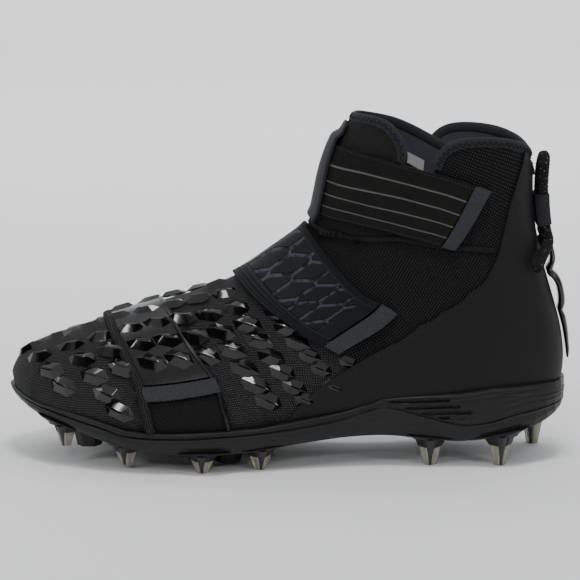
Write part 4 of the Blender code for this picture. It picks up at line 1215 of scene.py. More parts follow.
EDGES = (("collar", COLLAR_PATH, -0.5 * UPPER_WALL), ("flap", FLAP_PATH, flap_middle))
for label, path, middle in EDGES:
    tape_on_last(label + "_tape", path, middle, TAPE_HALF, TAPE_THICK, [TAPE],
                 (label + "_binding",), shift=TAPE_SHIFT)


def zigzag(path, lift, wide, pitch, shift):
    """Starts, ends and directions of a zigzag along a tape's outer face."""
    _, points, outs = laid(path, 600, lift)
    run = lengths(points)
    count = int(run[-1] / pitch)
    at = np.linspace(0.01, 0.99, count) * run[-1]
    spot, out = columns_at(at, run, points), columns_at(at, run, outs)
    across = unit(np.cross(np.gradient(spot, axis=0), out))
    swing = (np.where(np.arange(count) % 2 == 0, wide, -wide) + shift)[:, None]
    corners = spot + across * swing + out * (TAPE_THICK + 0.00005)
    return corners[:-1], corners[1:], out[:-1]


for label, path, middle in EDGES:
    stitches(label + "_zigzag", *zigzag(path, middle, 0.0015, 0.0017, TAPE_SHIFT + 0.0003), 0.00030,
             DARK_THREAD)

# %% [markdown]
# Where the upper ends over the instep, its edge is turned and sewn with two rows of thread. The
# heel film has a sewn front edge as well.

# %% Seams
CUFF_HALF = (
    (19.60, -0.700), (19.20, -0.600), (18.72, -0.500), (18.10, -0.385), (17.60, -0.317),
    (16.55, -0.235), (15.40, -0.167), (14.50, -0.120), (14.05, -0.060), (13.92, 0.000),
)
CUFF_SEAM = CUFF_HALF + tuple((u, -v) for u, v in CUFF_HALF[-2::-1])
tape_on_last("cuff_seam_roll", CUFF_SEAM, 0.0003, 0.0015, 0.0008, [DARK_THREAD],
             rows=220)
stitches("cuff_seam_thread", *run_on_last([(u - 0.17, v) for u, v in CUFF_SEAM], 0.0001, 0.0023),
         0.00030, DARK_THREAD)
PANEL_FRONT = [(u, -v - 0.016) for u, v in PANEL_EDGE]
PANEL_BACK = [(u, v + 0.016) for u, v in PANEL_EDGE]
for label, path in (("outer", PANEL_FRONT), ("inner", PANEL_BACK)):
    stitches("panel_thread_" + label, *run_on_last(path, PANEL_LIFT, 0.0024), 0.00036,
             SEAM_THREAD)

# %% [markdown]
# The straps are sheets between two edges. The ankle strap is ribbed elastic with four pale woven
# lines, and it ends in a grey tab. Its chart runs across and along the strap itself, so the
# lines stay parallel to its edges.

# %% Ankle strap
ANKLE_TOP = (
    (21.30, -0.633), (21.28, -0.533), (21.10, -0.383), (20.78, -0.233), (20.38, -0.090),
    (20.25, 0.000), (20.38, 0.090), (20.78, 0.233), (21.05, 0.383), (21.20, 0.490),
    (21.25, 0.600),
)
ANKLE_LOW = (
    (18.62, -0.483), (18.32, -0.410), (17.62, -0.283), (16.60, -0.167), (15.30, -0.060),
    (14.95, 0.000), (15.30, 0.060), (16.60, 0.167), (17.62, 0.283), (18.32, 0.400),
    (18.62, 0.483),
)
STRAP_LIFT = 0.0008
ANKLE_THICK = 0.0017


def between(edge_a, edge_b, lift):
    """Where a strap lies between two edges: s across from the first edge, t along."""
    grid = np.linspace(0.0, 1.0, 300)
    first, second = smooth_rows(edge_a, 300), smooth_rows(edge_b, 300)

    def where(s, t):
        share = s[:, None]
        u, v = ((1 - share) * columns_at(t, grid, first) + share * columns_at(t, grid, second)).T
        return u, v, lift(u, v) if callable(lift) else lift

    return where


def strap_chart(wide, length):
    """A strap's own chart: millimetres across and along it."""
    return lambda s, t: np.stack([s * wide, t * length], 1)


def strap(name, grid, edges, lift, thickness, finish, node, slot, size, rim):
    """A sheet between two edges with a chart of its own size in millimetres."""
    sheet_on_last(name, *grid, between(*edges, lift), thickness, [finish], (node,), slot,
                  strap_chart(*size), rim)


def ankle_finish():
    """Ribbed black elastic with four pale lines."""
    finish = Finish("ankle_elastic")
    across, along, _ = finish.chart()
    rib = 0.5 + 0.5 * finish.sine(across * 9.0 + finish.noise(3.0) * 1.2)
    fuzz = finish.noise(0.7, 3.0, 0.6)
    line = None
    for centre in (9.0, 17.3, 25.6, 33.9):
        one = 1.0 - finish.step(abs(across - centre), 0.30, 0.62)
        line = one if line is None else finish.math("MAXIMUM", line, one)
    shown = line * finish.step(along, 9.0, 10.0)
    cloud = finish.noise(20.0, 4.0)
    ground = finish.mix(cloud, (0.0080, 0.0076, 0.0072), (0.0130, 0.0120, 0.0110))
    finish.surface(Base_Color=finish.mix(shown, ground, (0.115, 0.112, 0.108)),
                   Roughness=0.86 - fuzz * 0.12,
                   Normal=finish.bump(rib * 0.5 + fuzz * 0.4 + shown * 1.2, 0.30))
    return finish.material


ANKLE = ankle_finish()
strap("ankle_band", (44, 150), (ANKLE_TOP[::-1], ANKLE_LOW[::-1]), STRAP_LIFT, ANKLE_THICK, ANKLE,
      "ankle_strap", "elastic_black", (42.0, 245.0), 0.0004)
TAB = plain_cloth("tab_cloth", (0.046, 0.047, 0.052), (0.036, 0.037, 0.041), 0.8, 0.7, 0.3)
strap("ankle_tab", (10, 30), (((21.302, -0.637), (21.31, -0.670), (21.30, -0.700)),
                              ((18.635, -0.487), (18.73, -0.512), (18.82, -0.537))),
      STRAP_LIFT, 0.0019, TAB, "ankle_strap_tab", "dark_grey_trim", (36.0, 8.0), 0.0005)
ankle_edges = {
    "upper": [(u - 0.10, v) for u, v in ANKLE_TOP],
    "lower": [(u + 0.12, v) for u, v in ANKLE_LOW],
}
for label, path in ankle_edges.items():
    stitches("ankle_thread_" + label, *run_on_last(path, STRAP_LIFT + ANKLE_THICK, 0.0021), 0.00022,
             THREAD)

# %% [markdown]
# The midfoot strap is a moulded film over foam. Its face carries stretched hexagons in low relief
# with worn, broken outlines, inside a plain edge with a sewn border.

# %% Midfoot strap
MIDFOOT_REAR = (
    (14.28, -0.385), (13.98, -0.350), (13.80, -0.290), (13.68, -0.210), (13.56, -0.110),
    (13.48, 0.000), (13.52, 0.120), (13.66, 0.260), (13.80, 0.370), (13.88, 0.445),
    (13.90, 0.505),
)
MIDFOOT_FRONT = (
    (12.10, -0.490), (11.78, -0.450), (11.25, -0.370), (10.72, -0.283), (10.18, -0.160),
    (9.80, 0.000), (10.00, 0.150), (10.35, 0.300), (10.70, 0.430), (11.00, 0.530),
    (11.22, 0.600),
)
MIDFOOT_THICK = 0.0023


def midfoot_finish():
    """Blue-black film with embossed stretched hexagons."""
    finish = Finish("midfoot_film")
    across, along, _ = finish.chart()
    # Two steps of the pattern lead across and along: (-26.6, 8.8) and (7.4, 15.6) millimetres
    long_way = along * 0.0154 - across * 0.0325
    short_way = along * 0.0554 + across * 0.0183

    def edge_of(shift):
        """How far past the border of a slanting hexagon, negative inside it."""
        x = abs(finish.math("WRAP", long_way + shift, 0.5, -0.5))
        y = abs(finish.math("WRAP", short_way + shift, 0.5, -0.5))
        return finish.math("MAXIMUM", (x - 0.5) * 2.2, y * 1.282 + x * 0.718 - 0.5)

    cell = finish.math("MINIMUM", edge_of(0.0), edge_of(0.5))
    inside = 1.0 - finish.step(cell, -0.13, -0.06)
    border = finish.step(cell, -0.105, -0.07)
    field = (finish.step(across, 6.5, 7.5) * (1.0 - finish.step(across, 42.5, 43.5))
             * (1.0 - finish.step(along, 170.0, 174.0)))
    worn = finish.step(finish.noise(4.0, 3.0, 0.6), 0.40, 0.52)
    from_middle = abs(across - 25.0)
    piping = finish.step(abs(from_middle - 19.0) * -1.0, -0.55, -0.35)
    light = border * field * worn
    grain = finish.noise(0.5, 3.0, 0.7)
    stitched = finish.step(from_middle, 18.6, 19.2)
    ground = finish.mix(finish.noise(25.0, 4.0), (0.0062, 0.0070, 0.0092), (0.0090, 0.0102, 0.0130))
    edge_tone = finish.mix(stitched, ground, (0.0085, 0.0092, 0.0112))
    finish.surface(Base_Color=finish.mix(light * 0.72 + piping * 0.25, edge_tone, (0.062, 0.066, 0.076)),
                   Roughness=0.62 - inside * field * 0.16,
                   Normal=finish.bump(inside * field + piping * 0.6 + grain * 0.12
                                      - stitched * (0.3 + 0.35 * finish.sine(across * 3.6)),
                                      0.8))
    return finish.material


MIDFOOT = midfoot_finish()
strap("midfoot_band", (52, 170), (MIDFOOT_REAR[::-1], MIDFOOT_FRONT[::-1]), STRAP_LIFT,
      MIDFOOT_THICK, MIDFOOT, "midfoot_strap", "blue_black_strap", (50.0, 190.0), 0.0006)
strap("midfoot_tab", (10, 40), (((14.305, -0.390), (14.42, -0.413), (14.50, -0.434)),
                                ((12.13, -0.495), (12.27, -0.517), (12.42, -0.538))),
      STRAP_LIFT, 0.0025, TAB, "midfoot_strap_trim", "dark_grey_trim", (50.0, 10.0), 0.0006)
for label, path in (("rear", [(u - 0.20, v) for u, v in MIDFOOT_REAR]),
                    ("front", [(u + 0.17, v) for u, v in MIDFOOT_FRONT])):
    stitches("midfoot_thread_" + label, *run_on_last(path, STRAP_LIFT + MIDFOOT_THICK, 0.0022),
             0.00026, DARK_THREAD)

# %% [markdown]
# The forefoot band is a clear glossy film that is welded over the vamp. Two raised lines mark its
# edges, and a plain grey bar closes its outer end.

# %% Forefoot band
BAND_REAR = (
    (9.25, -0.470), (8.92, -0.395), (8.60, -0.310), (8.25, -0.190), (7.92, 0.000),
    (7.88, 0.150), (8.00, 0.300), (8.20, 0.450), (8.30, 0.530), (8.36, 0.585),
)
BAND_FRONT = (
    (7.42, -0.470), (7.18, -0.395), (6.90, -0.300), (6.60, -0.170), (6.38, 0.000),
    (6.35, 0.150), (6.42, 0.300), (6.55, 0.450), (6.64, 0.520), (6.72, 0.570),
)


def gloss_film(name, colour, rough, ripple, sheen=0.8):
    """A glossy skin with slow ripples and fine dust."""
    finish = Finish(name)
    slow = finish.noise(14.0, 2.0)
    dust = finish.step(finish.noise(1.2, 4.0, 0.7), 0.55, 0.75)
    lighter = tuple(c * 2.2 for c in colour)
    finish.surface(sheen, Base_Color=finish.mix(dust * 0.6, colour, lighter),
                   Roughness=rough + dust * 0.10 + slow * 0.05,
                   Normal=finish.bump(slow, ripple))
    return finish.material


FILM = gloss_film("band_film", (0.0040, 0.0040, 0.0044), 0.26, 0.2, 0.35)
LUG_GLOSS = gloss_film("lug_rubber", (0.0030, 0.0030, 0.0033), 0.10, 0.12, 0.55)
BAND_LIFT = 0.0005
BAND_THICK = 0.0011
strap("forefoot_film", (40, 150), (BAND_REAR, BAND_FRONT), BAND_LIFT, BAND_THICK, FILM,
      "forefoot_band", "glossy_black_film", (40.0, 130.0), 0.0004)
FRONT_LINE = ((7.90, -0.700), (7.74, -0.620), (7.58, -0.533), (7.50, -0.505)) + tuple(
    (u + 0.06, v) for u, v in BAND_FRONT)
REAR_LINE = ((9.60, -0.700), (9.50, -0.620), (9.36, -0.533), (9.29, -0.505)) + tuple(
    (u - 0.06, v) for u, v in BAND_REAR)
for label, path, wide, tall, finish in (("rear", REAR_LINE, 0.0010, 0.0010, FILM),
                                        ("front", FRONT_LINE, 0.0027, 0.0015, TONGUE_NET)):
    tape_on_last("band_edge_" + label, path, BAND_LIFT + BAND_THICK, wide, tall, [finish],
                 rows=180)
strap("forefoot_bar", (34, 12), (((9.28, -0.477), (9.35, -0.505), (9.42, -0.533)),
                                 ((7.45, -0.477), (7.56, -0.505), (7.66, -0.533))),
      BAND_LIFT, 0.0024, TAB, "forefoot_band_trim", "dark_grey_trim", (46.0, 9.0), 0.0006)

# %% [markdown]
# Below the grey bar the film is open, and a ribbed cloth shows down to the sole.

# %% Ribbed window


def window_finish():
    """Fine slanting ribs of a technical cloth."""
    finish = Finish("window_cloth")
    around, along, _ = finish.chart()
    slow = finish.noise(8.0, 3.0)
    rib = 0.5 + 0.5 * finish.sine((along * 0.9 + around * 0.5 + slow) * 4.6)
    cross = 0.5 + 0.5 * finish.sine((around - along * 0.4) * 5.2)
    finish.surface(Base_Color=finish.mix(rib, (0.0030, 0.0030, 0.0034), (0.0140, 0.0140, 0.0154)),
                   Roughness=0.7, Normal=finish.bump(rib + cross * 0.3, 0.35))
    return finish.material


WINDOW = window_finish()
sheet_on_last("vamp_window", 40, 30, between(
    ((9.46, -0.540), (9.58, -0.620), (9.66, -0.700)),
    ((7.68, -0.540), (7.80, -0.620), (7.90, -0.700)), 0.0002), 0.0006, [WINDOW],
    slot="black_mesh", rim=0.0002)

# %% [markdown]
# The front strip is a moulded grey strip down the middle of the flap, with a rolled edge on both
# sides. Its face is plain.

# %% Front strip
STRIP_TOP_LIFT = STRAP_LIFT + ANKLE_THICK + 0.0005


def strip_lift(u, v):
    """Height of the strip, which rides over the ankle strap."""
    return STRIP_TOP_LIFT - (STRIP_TOP_LIFT - 0.0005) * ramp(u, 20.55, 21.15)


STRIP_SIDE = ((14.30, 0.062), (18.00, 0.064), (20.00, 0.062), (21.80, 0.058))
left_side = [(u, -v) for u, v in STRIP_SIDE]
STRIP = plain_cloth("strip_cloth", (0.044, 0.045, 0.050), (0.034, 0.035, 0.039), 0.7, 0.62, 0.2)
strap("front_strip_face", (24, 90), (left_side, STRIP_SIDE), strip_lift, 0.0016, STRIP,
      "front_strip", "dark_grey_trim", (14.0, 60.0), 0.0005)
for label, path in (("outer", left_side), ("inner", STRIP_SIDE)):
    tape_on_last("strip_edge_" + label, path, lambda u, v: strip_lift(u, v) + 0.0010, 0.0009, 0.0010,
                 [TAPE], rows=70)

# %% [markdown]
# The vamp is studded with glossy faceted lugs, stretched hexagons with a short ridge. One is
# modelled here.

# %% Lug model
clear_selection()
bpy.ops.mesh.primitive_cylinder_add(vertices=6, radius=1.0, depth=1.0, location=(0.0, 0.0, 0.5))
lug_model = bpy.context.active_object
lug_model.name = "lug_model"
open_mesh(lug_model)
shape = bmesh.from_edit_mesh(lug_model.data)
for vertex in shape.verts:
    angle = math.atan2(vertex.co.x, vertex.co.y)
    on_axis = abs(vertex.co.x) < 0.1
    x = math.copysign(1.0, vertex.co.y) if on_axis else math.copysign(0.52, vertex.co.y)
    y = 0.0 if on_axis else math.copysign(1.0, vertex.co.x)
    high = vertex.co.z > 0.0
    if high:
        x = 0.08 + math.copysign(0.50 if on_axis else 0.28, x)
        y = 0.02 if on_axis else 0.02 + math.copysign(0.11, y)
    vertex.co = (x, y, 1.0 if high else 0.0)
bmesh.update_edit_mesh(lug_model.data)
bpy.ops.object.mode_set(mode="OBJECT")
modify(lug_model, "BEVEL", width=0.035, segments=1)
LUG = points_of(lug_model.data), [list(face.vertices) for face in lug_model.data.polygons]
bpy.data.objects.remove(lug_model, do_unlink=True)

print("lug of", len(LUG[1]), "faces")

# %% [markdown]
# Copies of the lug follow the curve of the foot in staggered rows that run level with the ground.
# They shrink towards the midfoot.

# %% Lugs
LUG_LONG = 0.0192
LUG_WIDE = 0.0101
LUG_TALL = 0.0032
# Steps of the lattice in metres along the foot and down over its side
STEP_UP = (0.0146, 0.0014)
STEP_DOWN = (0.0064, 0.0121)
# The lattice's own length, and where it comes to lie along the foot
LUG_STRETCH = ((-0.200, -0.148, -0.118, -0.090, 0.060), (-0.2114, -0.148, -0.1114, -0.0800, 0.070))
# Place of the first lug along X, and down the side from the middle
FIRST_LUG = (-0.1480, 0.0030)
# Where lugs may stand along X, and the smallest size that is kept
LUG_REACH = (-0.1545, 0.045)
LEAST_LUG = 0.30
VAMP_ROWS = slice(0, 700)
# Shares and rows of the window, which stays bare, rows of the band, and lifts of the lugs
WINDOW_SHARES = (-0.76, -0.462)
WINDOW_ROWS = (7.2, 9.9)
BAND_ROWS = (6.5, 8.9)
ON_BAND = 0.0013
ON_VAMP = -0.0002
rng = np.random.default_rng(7)


def lug_spots():
    """Row, share and place of each lug over the vamp."""
    found = []
    shares = np.linspace(0.0, 1.0, 51)
    for i in range(-16, 20):
        for j in range(-10, 16):
            x = np.interp(FIRST_LUG[0] + i * STEP_UP[0] + j * STEP_DOWN[0], *LUG_STRETCH)
            if not LUG_REACH[0] < x < LUG_REACH[1]:
                continue
            at = FIRST_LUG[1] + i * STEP_UP[1] + j * STEP_DOWN[1]
            for side in (-1, 1):
                rows = np.array([np.interp(x, POINTS[VAMP_ROWS, TOP + side * n, 0],
                                           TABLE_ROWS[VAMP_ROWS]) for n in range(0, TOP + 1, 4)])
                line = looked_up(POINTS, rows, side * shares)
                run = lengths(line * (1.0, 0.72, 1.0))
                if at < (0.0 if side < 0 else 0.006) or at > run[-1]:
                    continue
                share = side * np.interp(at, run, shares)
                row = np.interp(at, run, rows)
                spot = looked_up(POINTS, [row], [share])[0]
                height = spot[2] - sole_level((HEEL_X - spot[0]) / SOLE_LENGTH, 2)
                if height >= 0.0056 + 0.0022 * float(ramp(-spot[0], 0.09, 0.13)):
                    found.append((row, share, spot))
    return found


def lug_size(row, share, spot):
    """Size of a lug between 0 and 1: full on the toe, small near the strap."""
    fade = 1.0 - 0.55 * ramp(spot[0], -0.030, 0.036)
    limit = np.interp(abs(share), [0.0, 0.2, 0.36, 0.5, 0.7], [9.4, 10.3, 11.2, 12.8, 12.2])
    fade *= 1.0 - ramp(row, limit - 0.3, limit + 0.5)
    fade *= 0.74 + 0.26 * ramp(abs(share), 0.04, 0.30)
    window = (WINDOW_SHARES[0] < share < WINDOW_SHARES[1]
              and WINDOW_ROWS[0] < row < WINDOW_ROWS[1])
    return 0.0 if window else float(fade)


def slope(row, share, row_step, share_step):
    """How the place on the last changes with the row or with the share."""
    ahead, back = looked_up(POINTS, [row + row_step, row - row_step],
                            [share + share_step, share - share_step])
    return (ahead - back) / (2 * (row_step + share_step))


def lug_places(model):
    """Points of every lug, carried onto the last."""
    made = []
    for row, share, spot in lug_spots():
        size = lug_size(row, share, spot)
        if size < LEAST_LUG:
            continue
        by_row, by_share = slope(row, share, 0.1, 0.0), slope(row, share, 0.0, 0.01)
        out = normal_at([row], [share])[0]
        long_way = np.array([1.0, 0.0, -0.42])
        long_way -= out * long_way.dot(out)
        if np.linalg.norm(long_way) < 0.35:
            long_way = by_row - out * by_row.dot(out)
        long_way = unit(long_way)
        wide_way = np.cross(out, long_way)
        if wide_way[2] > 0:
            wide_way = -wide_way
        to_last = np.linalg.pinv(np.stack([by_row, by_share], 1))
        lean = rng.uniform(-0.20, 0.20, 2)
        top = model[:, 2] > 0.5
        x = model[:, 0] + np.where(top, lean[0], 0.0)
        y = model[:, 1] + np.where(top, lean[1] * 0.7, 0.0)
        offset = (long_way[:, None] * x * 0.5 * LUG_LONG + wide_way[:, None] * y * 0.5 * LUG_WIDE)
        step = to_last @ (offset * (0.45 + 0.55 * size))
        u = np.clip(row + step[0], 0.05, 24.0)
        band = BAND_ROWS[0] < row < BAND_ROWS[1] and abs(share) < 0.5
        tall = LUG_TALL * (0.35 + 0.65 * size)
        made.append(on_last(u, share + step[1], model[:, 2] * tall + (ON_BAND if band else ON_VAMP)))
    print("lugs", len(made))
    return made


scatter("vamp_lugs", LUG, lug_places, LUG_GLOSS, angle=15.0)

# %% [markdown]
# Each stud is a clear block that wraps a dark ridge of the plate. The ridge spreads into the plate
# in a hollow curve, as a tree's foot does.

# %% Studs
# Name, share of the length, share of the width, height of the tip, turn in degrees
STUDS = (
    ("outer_1", 0.892, -0.246, 0.058, -28.0),
    ("outer_2", 0.783, -0.360, 0.016, -16.0),
    ("outer_3", 0.648, -0.432, 0.000, -4.0),
    ("outer_4", 0.547, -0.381, 0.000, 12.0),
    ("inner_1", 0.868, 0.322, 0.050, 24.0),
    ("inner_2", 0.766, 0.398, 0.012, 10.0),
    ("inner_3", 0.651, 0.375, 0.000, -6.0),
    ("inner_4", 0.556, 0.308, 0.000, -14.0),
    ("heel_outer_front", 0.246, -0.373, 0.000, 0.0),
    ("heel_outer_rear", 0.122, -0.387, 0.000, 8.0),
    ("heel_inner_front", 0.232, 0.320, 0.000, 0.0),
    ("heel_inner_rear", 0.050, 0.253, 0.000, -20.0),
)
CLEAR = mottled("stud_clear", 0.12, 3.0, (0.66, 0.64, 0.52), (0.46, 0.44, 0.34), (2.0, 0.2), 0.5, 2.0)
CLEAR.shader.inputs["Transmission Weight"].default_value = 0.55
CLEAR.shader.inputs["IOR"].default_value = 1.5
RIDGE = moulded("stud_ridge", (0.030, 0.030, 0.033), 0.30)
print("finishes of", len(STUDS), "studs ready")

# %% [markdown]
# Two dark pieces go into each stud: a low skirt under the plate and a wedge down to the point.

# %% Skirts and ridges
# Half length and half width of a skirt, at its foot on the stud and where it meets the plate
SKIRT_FOOT = (0.0100, 0.0066)
SKIRT_TOP = (0.0168, 0.0100)


def stud_frame(a, y_share, turn):
    """Level of the plate at a stud, and what carries the stud's own x and y to the shoe."""
    x, y = HEEL_X - a * SOLE_LENGTH, y_share * float(local_width(a)) + MIDDLE_Y
    cos_t, sin_t = math.cos(math.radians(turn)), math.sin(math.radians(turn))
    return float(sole_level(a, 1)), lambda qx, qy: (x + qx * cos_t - qy * sin_t,
                                                    y + qx * sin_t + qy * cos_t)


def stud_spread(name, a, y_share, tip, turn):
    """The dark foot of a stud: a low hollow-curved skirt where it leaves the plate."""
    floor, carry = stud_frame(a, y_share, turn)

    def place(s, t):
        drop = t * (floor - tip) * 0.10 - 0.0012
        half_x, half_y = (low + (high - low) * (1 - t) ** 2.0
                          for low, high in zip(SKIRT_FOOT, SKIRT_TOP))
        turned = 2 * math.pi * s
        px, py = carry(bent(np.cos(turned), 0.85) * half_x, bent(np.sin(turned), 0.85) * half_y)
        under = sole_level((HEEL_X - px) / SOLE_LENGTH, 1)
        return np.stack([px, py, (floor - drop) + (under - floor) * (1 - t)], 1)

    return shaped_grid(name, 14, 7, place, lambda s, t: np.stack([s * 20, t * 10], 1),
                       [RIDGE], angle=45.0)


def stud_ridge(name, a, y_share, tip, turn):
    """The dark wedge through a stud, from the plate to its point."""
    floor, carry = stud_frame(a, y_share, turn)
    clear_selection()
    bpy.ops.mesh.primitive_cube_add(size=1.0, location=(0.0, 0.0, 0.0))
    piece = bpy.context.active_object
    piece.name = name
    open_mesh(piece)
    bpy.ops.mesh.subdivide(number_cuts=3)
    body = bmesh.from_edit_mesh(piece.data)
    for vertex in body.verts:
        t = vertex.co.z + 0.5
        half_x = 0.0009 + 0.0024 * t ** 1.4
        half_y = 0.0029 + 0.0048 * t ** 1.25
        bulge = 1.0 - 0.30 * abs(vertex.co.x * 2) ** 2
        vertex.co = (*carry(vertex.co.x * 2 * half_x, vertex.co.y * 2 * half_y * bulge),
                     tip + t * (floor - tip) * 0.98)
    bmesh.update_edit_mesh(piece.data)
    bpy.ops.mesh.select_all(action="SELECT")
    bpy.ops.mesh.normals_make_consistent(inside=False)
    bpy.ops.object.mode_set(mode="OBJECT")
    add_chart(piece.data, np.zeros((len(piece.data.vertices), 2)))
    return settle(piece, [RIDGE])


for stud, a, y_share, rise, turn in STUDS:
    tip = rise * BODY_HEIGHT
    stud_spread("spread_" + stud, a, y_share, tip, turn)
    stud_ridge("ridge_" + stud, a, y_share, tip, turn)
    dress("stud_" + stud, CLEAR.material)

# %% [markdown]
# The pull loop is a braided rope with pale flecks, doubled through a ribbed sleeve. The chart
# counts millimetres around and along the rope, and two crossing waves make its strands.

# %% Pull rope
ROPE_DIAMETER = 0.0064
SLEEVE_WALL = 0.0006
ROPE_LIFT = PANEL_LIFT + 0.0005 + SLEEVE_WALL + 0.0003 + 0.5 * ROPE_DIAMETER


def behind(u, y, lift):
    """A point behind the heel's back line, moved sideways."""
    point = on_last([u], [-1.0], lift)[0]
    return np.array([point[0], point[1] + y, point[2]])


# Row of the last, sideways place in rope diameters, lift in rope diameters
ROPE_PATH = (
    (20.32, -1.42, 0.00), (20.58, -1.05, 0.00), (20.80, -1.00, 0.00), (21.25, -1.00, 0.00),
    (21.60, -1.00, 0.02), (21.90, -0.98, 0.08), (22.10, -0.80, 0.16), (22.22, -0.45, 0.22),
    (22.26, 0.00, 0.24),
)
strand = [on_last([19.46], [-0.842], ROPE_LIFT)[0], on_last([19.90], [-0.885], ROPE_LIFT)[0]]
strand += [behind(u, y * ROPE_DIAMETER, ROPE_LIFT + e * ROPE_DIAMETER) for u, y, e in ROPE_PATH]
loop_points = strand + [np.array([p[0], 2 * MIDDLE_Y - p[1], p[2]]) for p in strand[-2::-1]]
ROPE_LINE = smooth_rows(loop_points, 400)
for _ in range(40):
    ROPE_LINE[1:-1] = 0.25 * ROPE_LINE[:-2] + 0.5 * ROPE_LINE[1:-1] + 0.25 * ROPE_LINE[2:]


def rope_place(s, t):
    """The rope's surface with the low swell of its strands."""
    spot, ahead, mm = along_line(ROPE_LINE, t)
    side = unit(np.cross(ahead, np.array([1.0, 0.0, 0.12])))
    other = np.cross(ahead, side)
    turn = 2 * math.pi * s
    swell = 0.00016 * (np.sin(3 * turn + mm * 1.5) * np.sin(3 * turn - mm * 1.5))
    ends = 1.0 - 0.25 * np.maximum(ramp(0.012 - t, 0, 0.012), ramp(t - 0.988, 0, 0.012))
    radius = ((0.5 * ROPE_DIAMETER + swell) * ends)[:, None]
    return spot + radius * (np.cos(turn)[:, None] * side + np.sin(turn)[:, None] * other)


def rope_finish():
    """Braided black rope with pale flecks."""
    finish = Finish("rope_braid")
    around, along, _ = finish.chart()
    one = finish.sine(along * 2.6 + around * 1.05)
    two = finish.sine(along * 2.6 - around * 1.05)
    braid = abs(one * two)
    fleck = finish.step(finish.noise(1.0, 1.0), 0.70, 0.73)
    colour = finish.mix(braid, (0.006, 0.006, 0.0065), (0.020, 0.020, 0.022))
    finish.surface(Base_Color=finish.mix(fleck, colour, (0.45, 0.45, 0.44)), Roughness=0.78,
                   Normal=finish.bump(braid, 0.5))
    return finish.material


ROPE = rope_finish()
shaped_grid("rope_loop", 24, 420, rope_place,
            lambda s, t: np.stack([s * 12 * math.pi / 2.1, t * 150.0], 1),
            [ROPE], ("pull_rope",), angle=60.0)

# %% [markdown]
# The sleeve is a flat ribbed loop that holds both strands against the heel.

# %% Sleeve
SLEEVE_LOW = 20.72
SLEEVE_HIGH = 21.45


def sleeve_place(s, t):
    """A ribbed flat loop around both strands, turned over at both ends."""
    u = SLEEVE_LOW + (SLEEVE_HIGH - SLEEVE_LOW) * np.clip((t - 0.1) / 0.8, 0.0, 1.0)
    inner = np.clip(np.maximum(0.1 - t, t - 0.9) / 0.1, 0.0, 1.0)
    centre = on_last(u, -1.0, ROPE_LIFT)
    out = normal_at(u, np.full_like(u, -1.0))
    radius = 0.5 * ROPE_DIAMETER + 0.0003 + SLEEVE_WALL * (1 - inner)
    rib = 0.00014 * np.sin(2 * math.pi * s * 34) * (1 - inner)
    turn = 2 * math.pi * s
    straight = ROPE_DIAMETER * np.clip(np.sin(turn) * 3.0, -1.0, 1.0)
    across = straight + (radius + rib) * np.sin(turn)
    away = (radius + rib) * np.cos(turn)
    return centre + out * away[:, None] + np.stack([0 * s, across, 0 * s], 1)


SLEEVE = plain_cloth("sleeve_cloth", (0.042, 0.043, 0.048), (0.032, 0.033, 0.037), 0.7, 0.7, 0.2)
shaped_grid("rope_sleeve", 170, 24, sleeve_place, lambda s, t: np.stack([s * 50, t * 22], 1),
            [SLEEVE], ("pull_sleeve",), filled=False)

# %% [markdown]
# The spine is a glossy moulding of two hooks and a tail that lies on the heel. It stands off the
# shoe between its feet, so light shows through behind the hooks.

# %% Heel spine
SPINE_REACH = 0.0071
SPINE_WIDTH = 0.0120
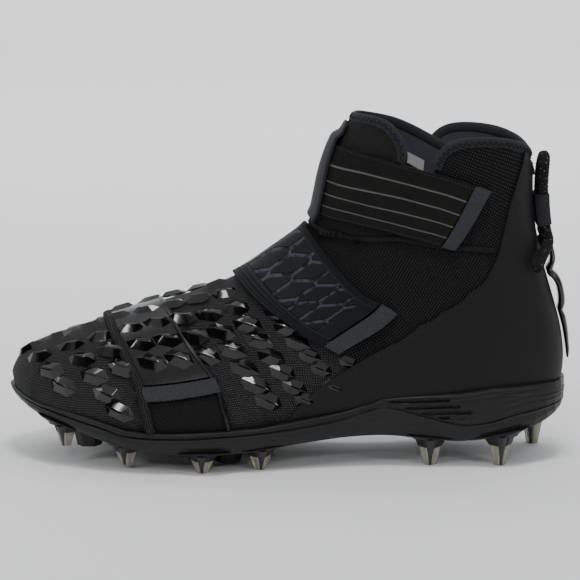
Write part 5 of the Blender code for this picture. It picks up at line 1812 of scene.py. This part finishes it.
# Row of the last, inner and outer standoff, width
SPINE = (
    (20.62, 0.00, 0.22, 0.38), (20.50, 0.08, 0.62, 0.38), (20.35, 0.39, 0.86, 0.38),
    (20.15, 0.53, 0.98, 0.45), (19.95, 0.56, 1.00, 0.62), (19.78, 0.37, 0.90, 0.85),
    (19.66, 0.02, 0.68, 1.00), (19.57, 0.00, 0.54, 1.00), (19.46, 0.02, 0.70, 1.00),
    (19.34, 0.25, 0.85, 1.00), (19.15, 0.39, 0.92, 1.00), (18.90, 0.34, 0.88, 1.00),
    (18.68, 0.17, 0.76, 1.00), (18.56, 0.02, 0.56, 1.00), (18.48, 0.00, 0.42, 1.00),
    (18.30, 0.02, 0.50, 1.00), (18.00, 0.06, 0.48, 0.90), (17.70, 0.09, 0.44, 0.80),
    (17.42, 0.14, 0.44, 0.70), (17.22, 0.20, 0.38, 0.55),
)


def spine_place(s, t):
    """The spine's surface: a rounded block between its inner and outer standoff."""
    fine = smooth_rows(SPINE, 400)
    u, inner, outer, wide = columns_at(t, np.linspace(0.0, 1.0, 400), fine).T
    base = PANEL_LIFT + 0.0005
    low, high = base + np.clip(inner, 0, 2) * SPINE_REACH, base + outer * SPINE_REACH
    c, d = np.cos(2 * math.pi * s), np.sin(2 * math.pi * s)
    across = 0.5 * SPINE_WIDTH * wide * bent(c, 0.6) * (1 - 0.22 * (d > 0) * np.abs(d))
    points = on_last(u, -1.0, 0.5 * (low + high) + 0.5 * (high - low) * bent(d, 0.7))
    points[:, 1] += across
    return points


SPINE_GLOSS = gloss_film("spine_gloss", (0.0080, 0.0080, 0.0088), 0.18, 0.1)
shaped_grid("spine_hooks", 24, 200, spine_place, lambda s, t: np.stack([s * 30, t * 80], 1),
            [SPINE_GLOSS], ("heel_spine",))

# %% [markdown]
# The last pieces keep their solids: the insole under the foot and the small blank tag inside the
# flap.

# %% Insole and tag
INSOLE_CLOTH = mottled("insole_cloth", 0.9, 8.0, (0.030, 0.031, 0.038), (0.045, 0.047, 0.056),
                       (0.7, 0.3))
TAG = mottled("tag_satin", 0.55, 2.0, (0.36, 0.36, 0.35), (0.44, 0.44, 0.43), (0.5, 0.1))
dress("insole", INSOLE_CLOTH.material)
dress("inner_tag", TAG.material)
print("all pieces made")

# %% [markdown]
# The box of the dressed shoe is printed.

# %% Closing
low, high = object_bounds()
print("box of the dressed shoe", list(low), list(high))
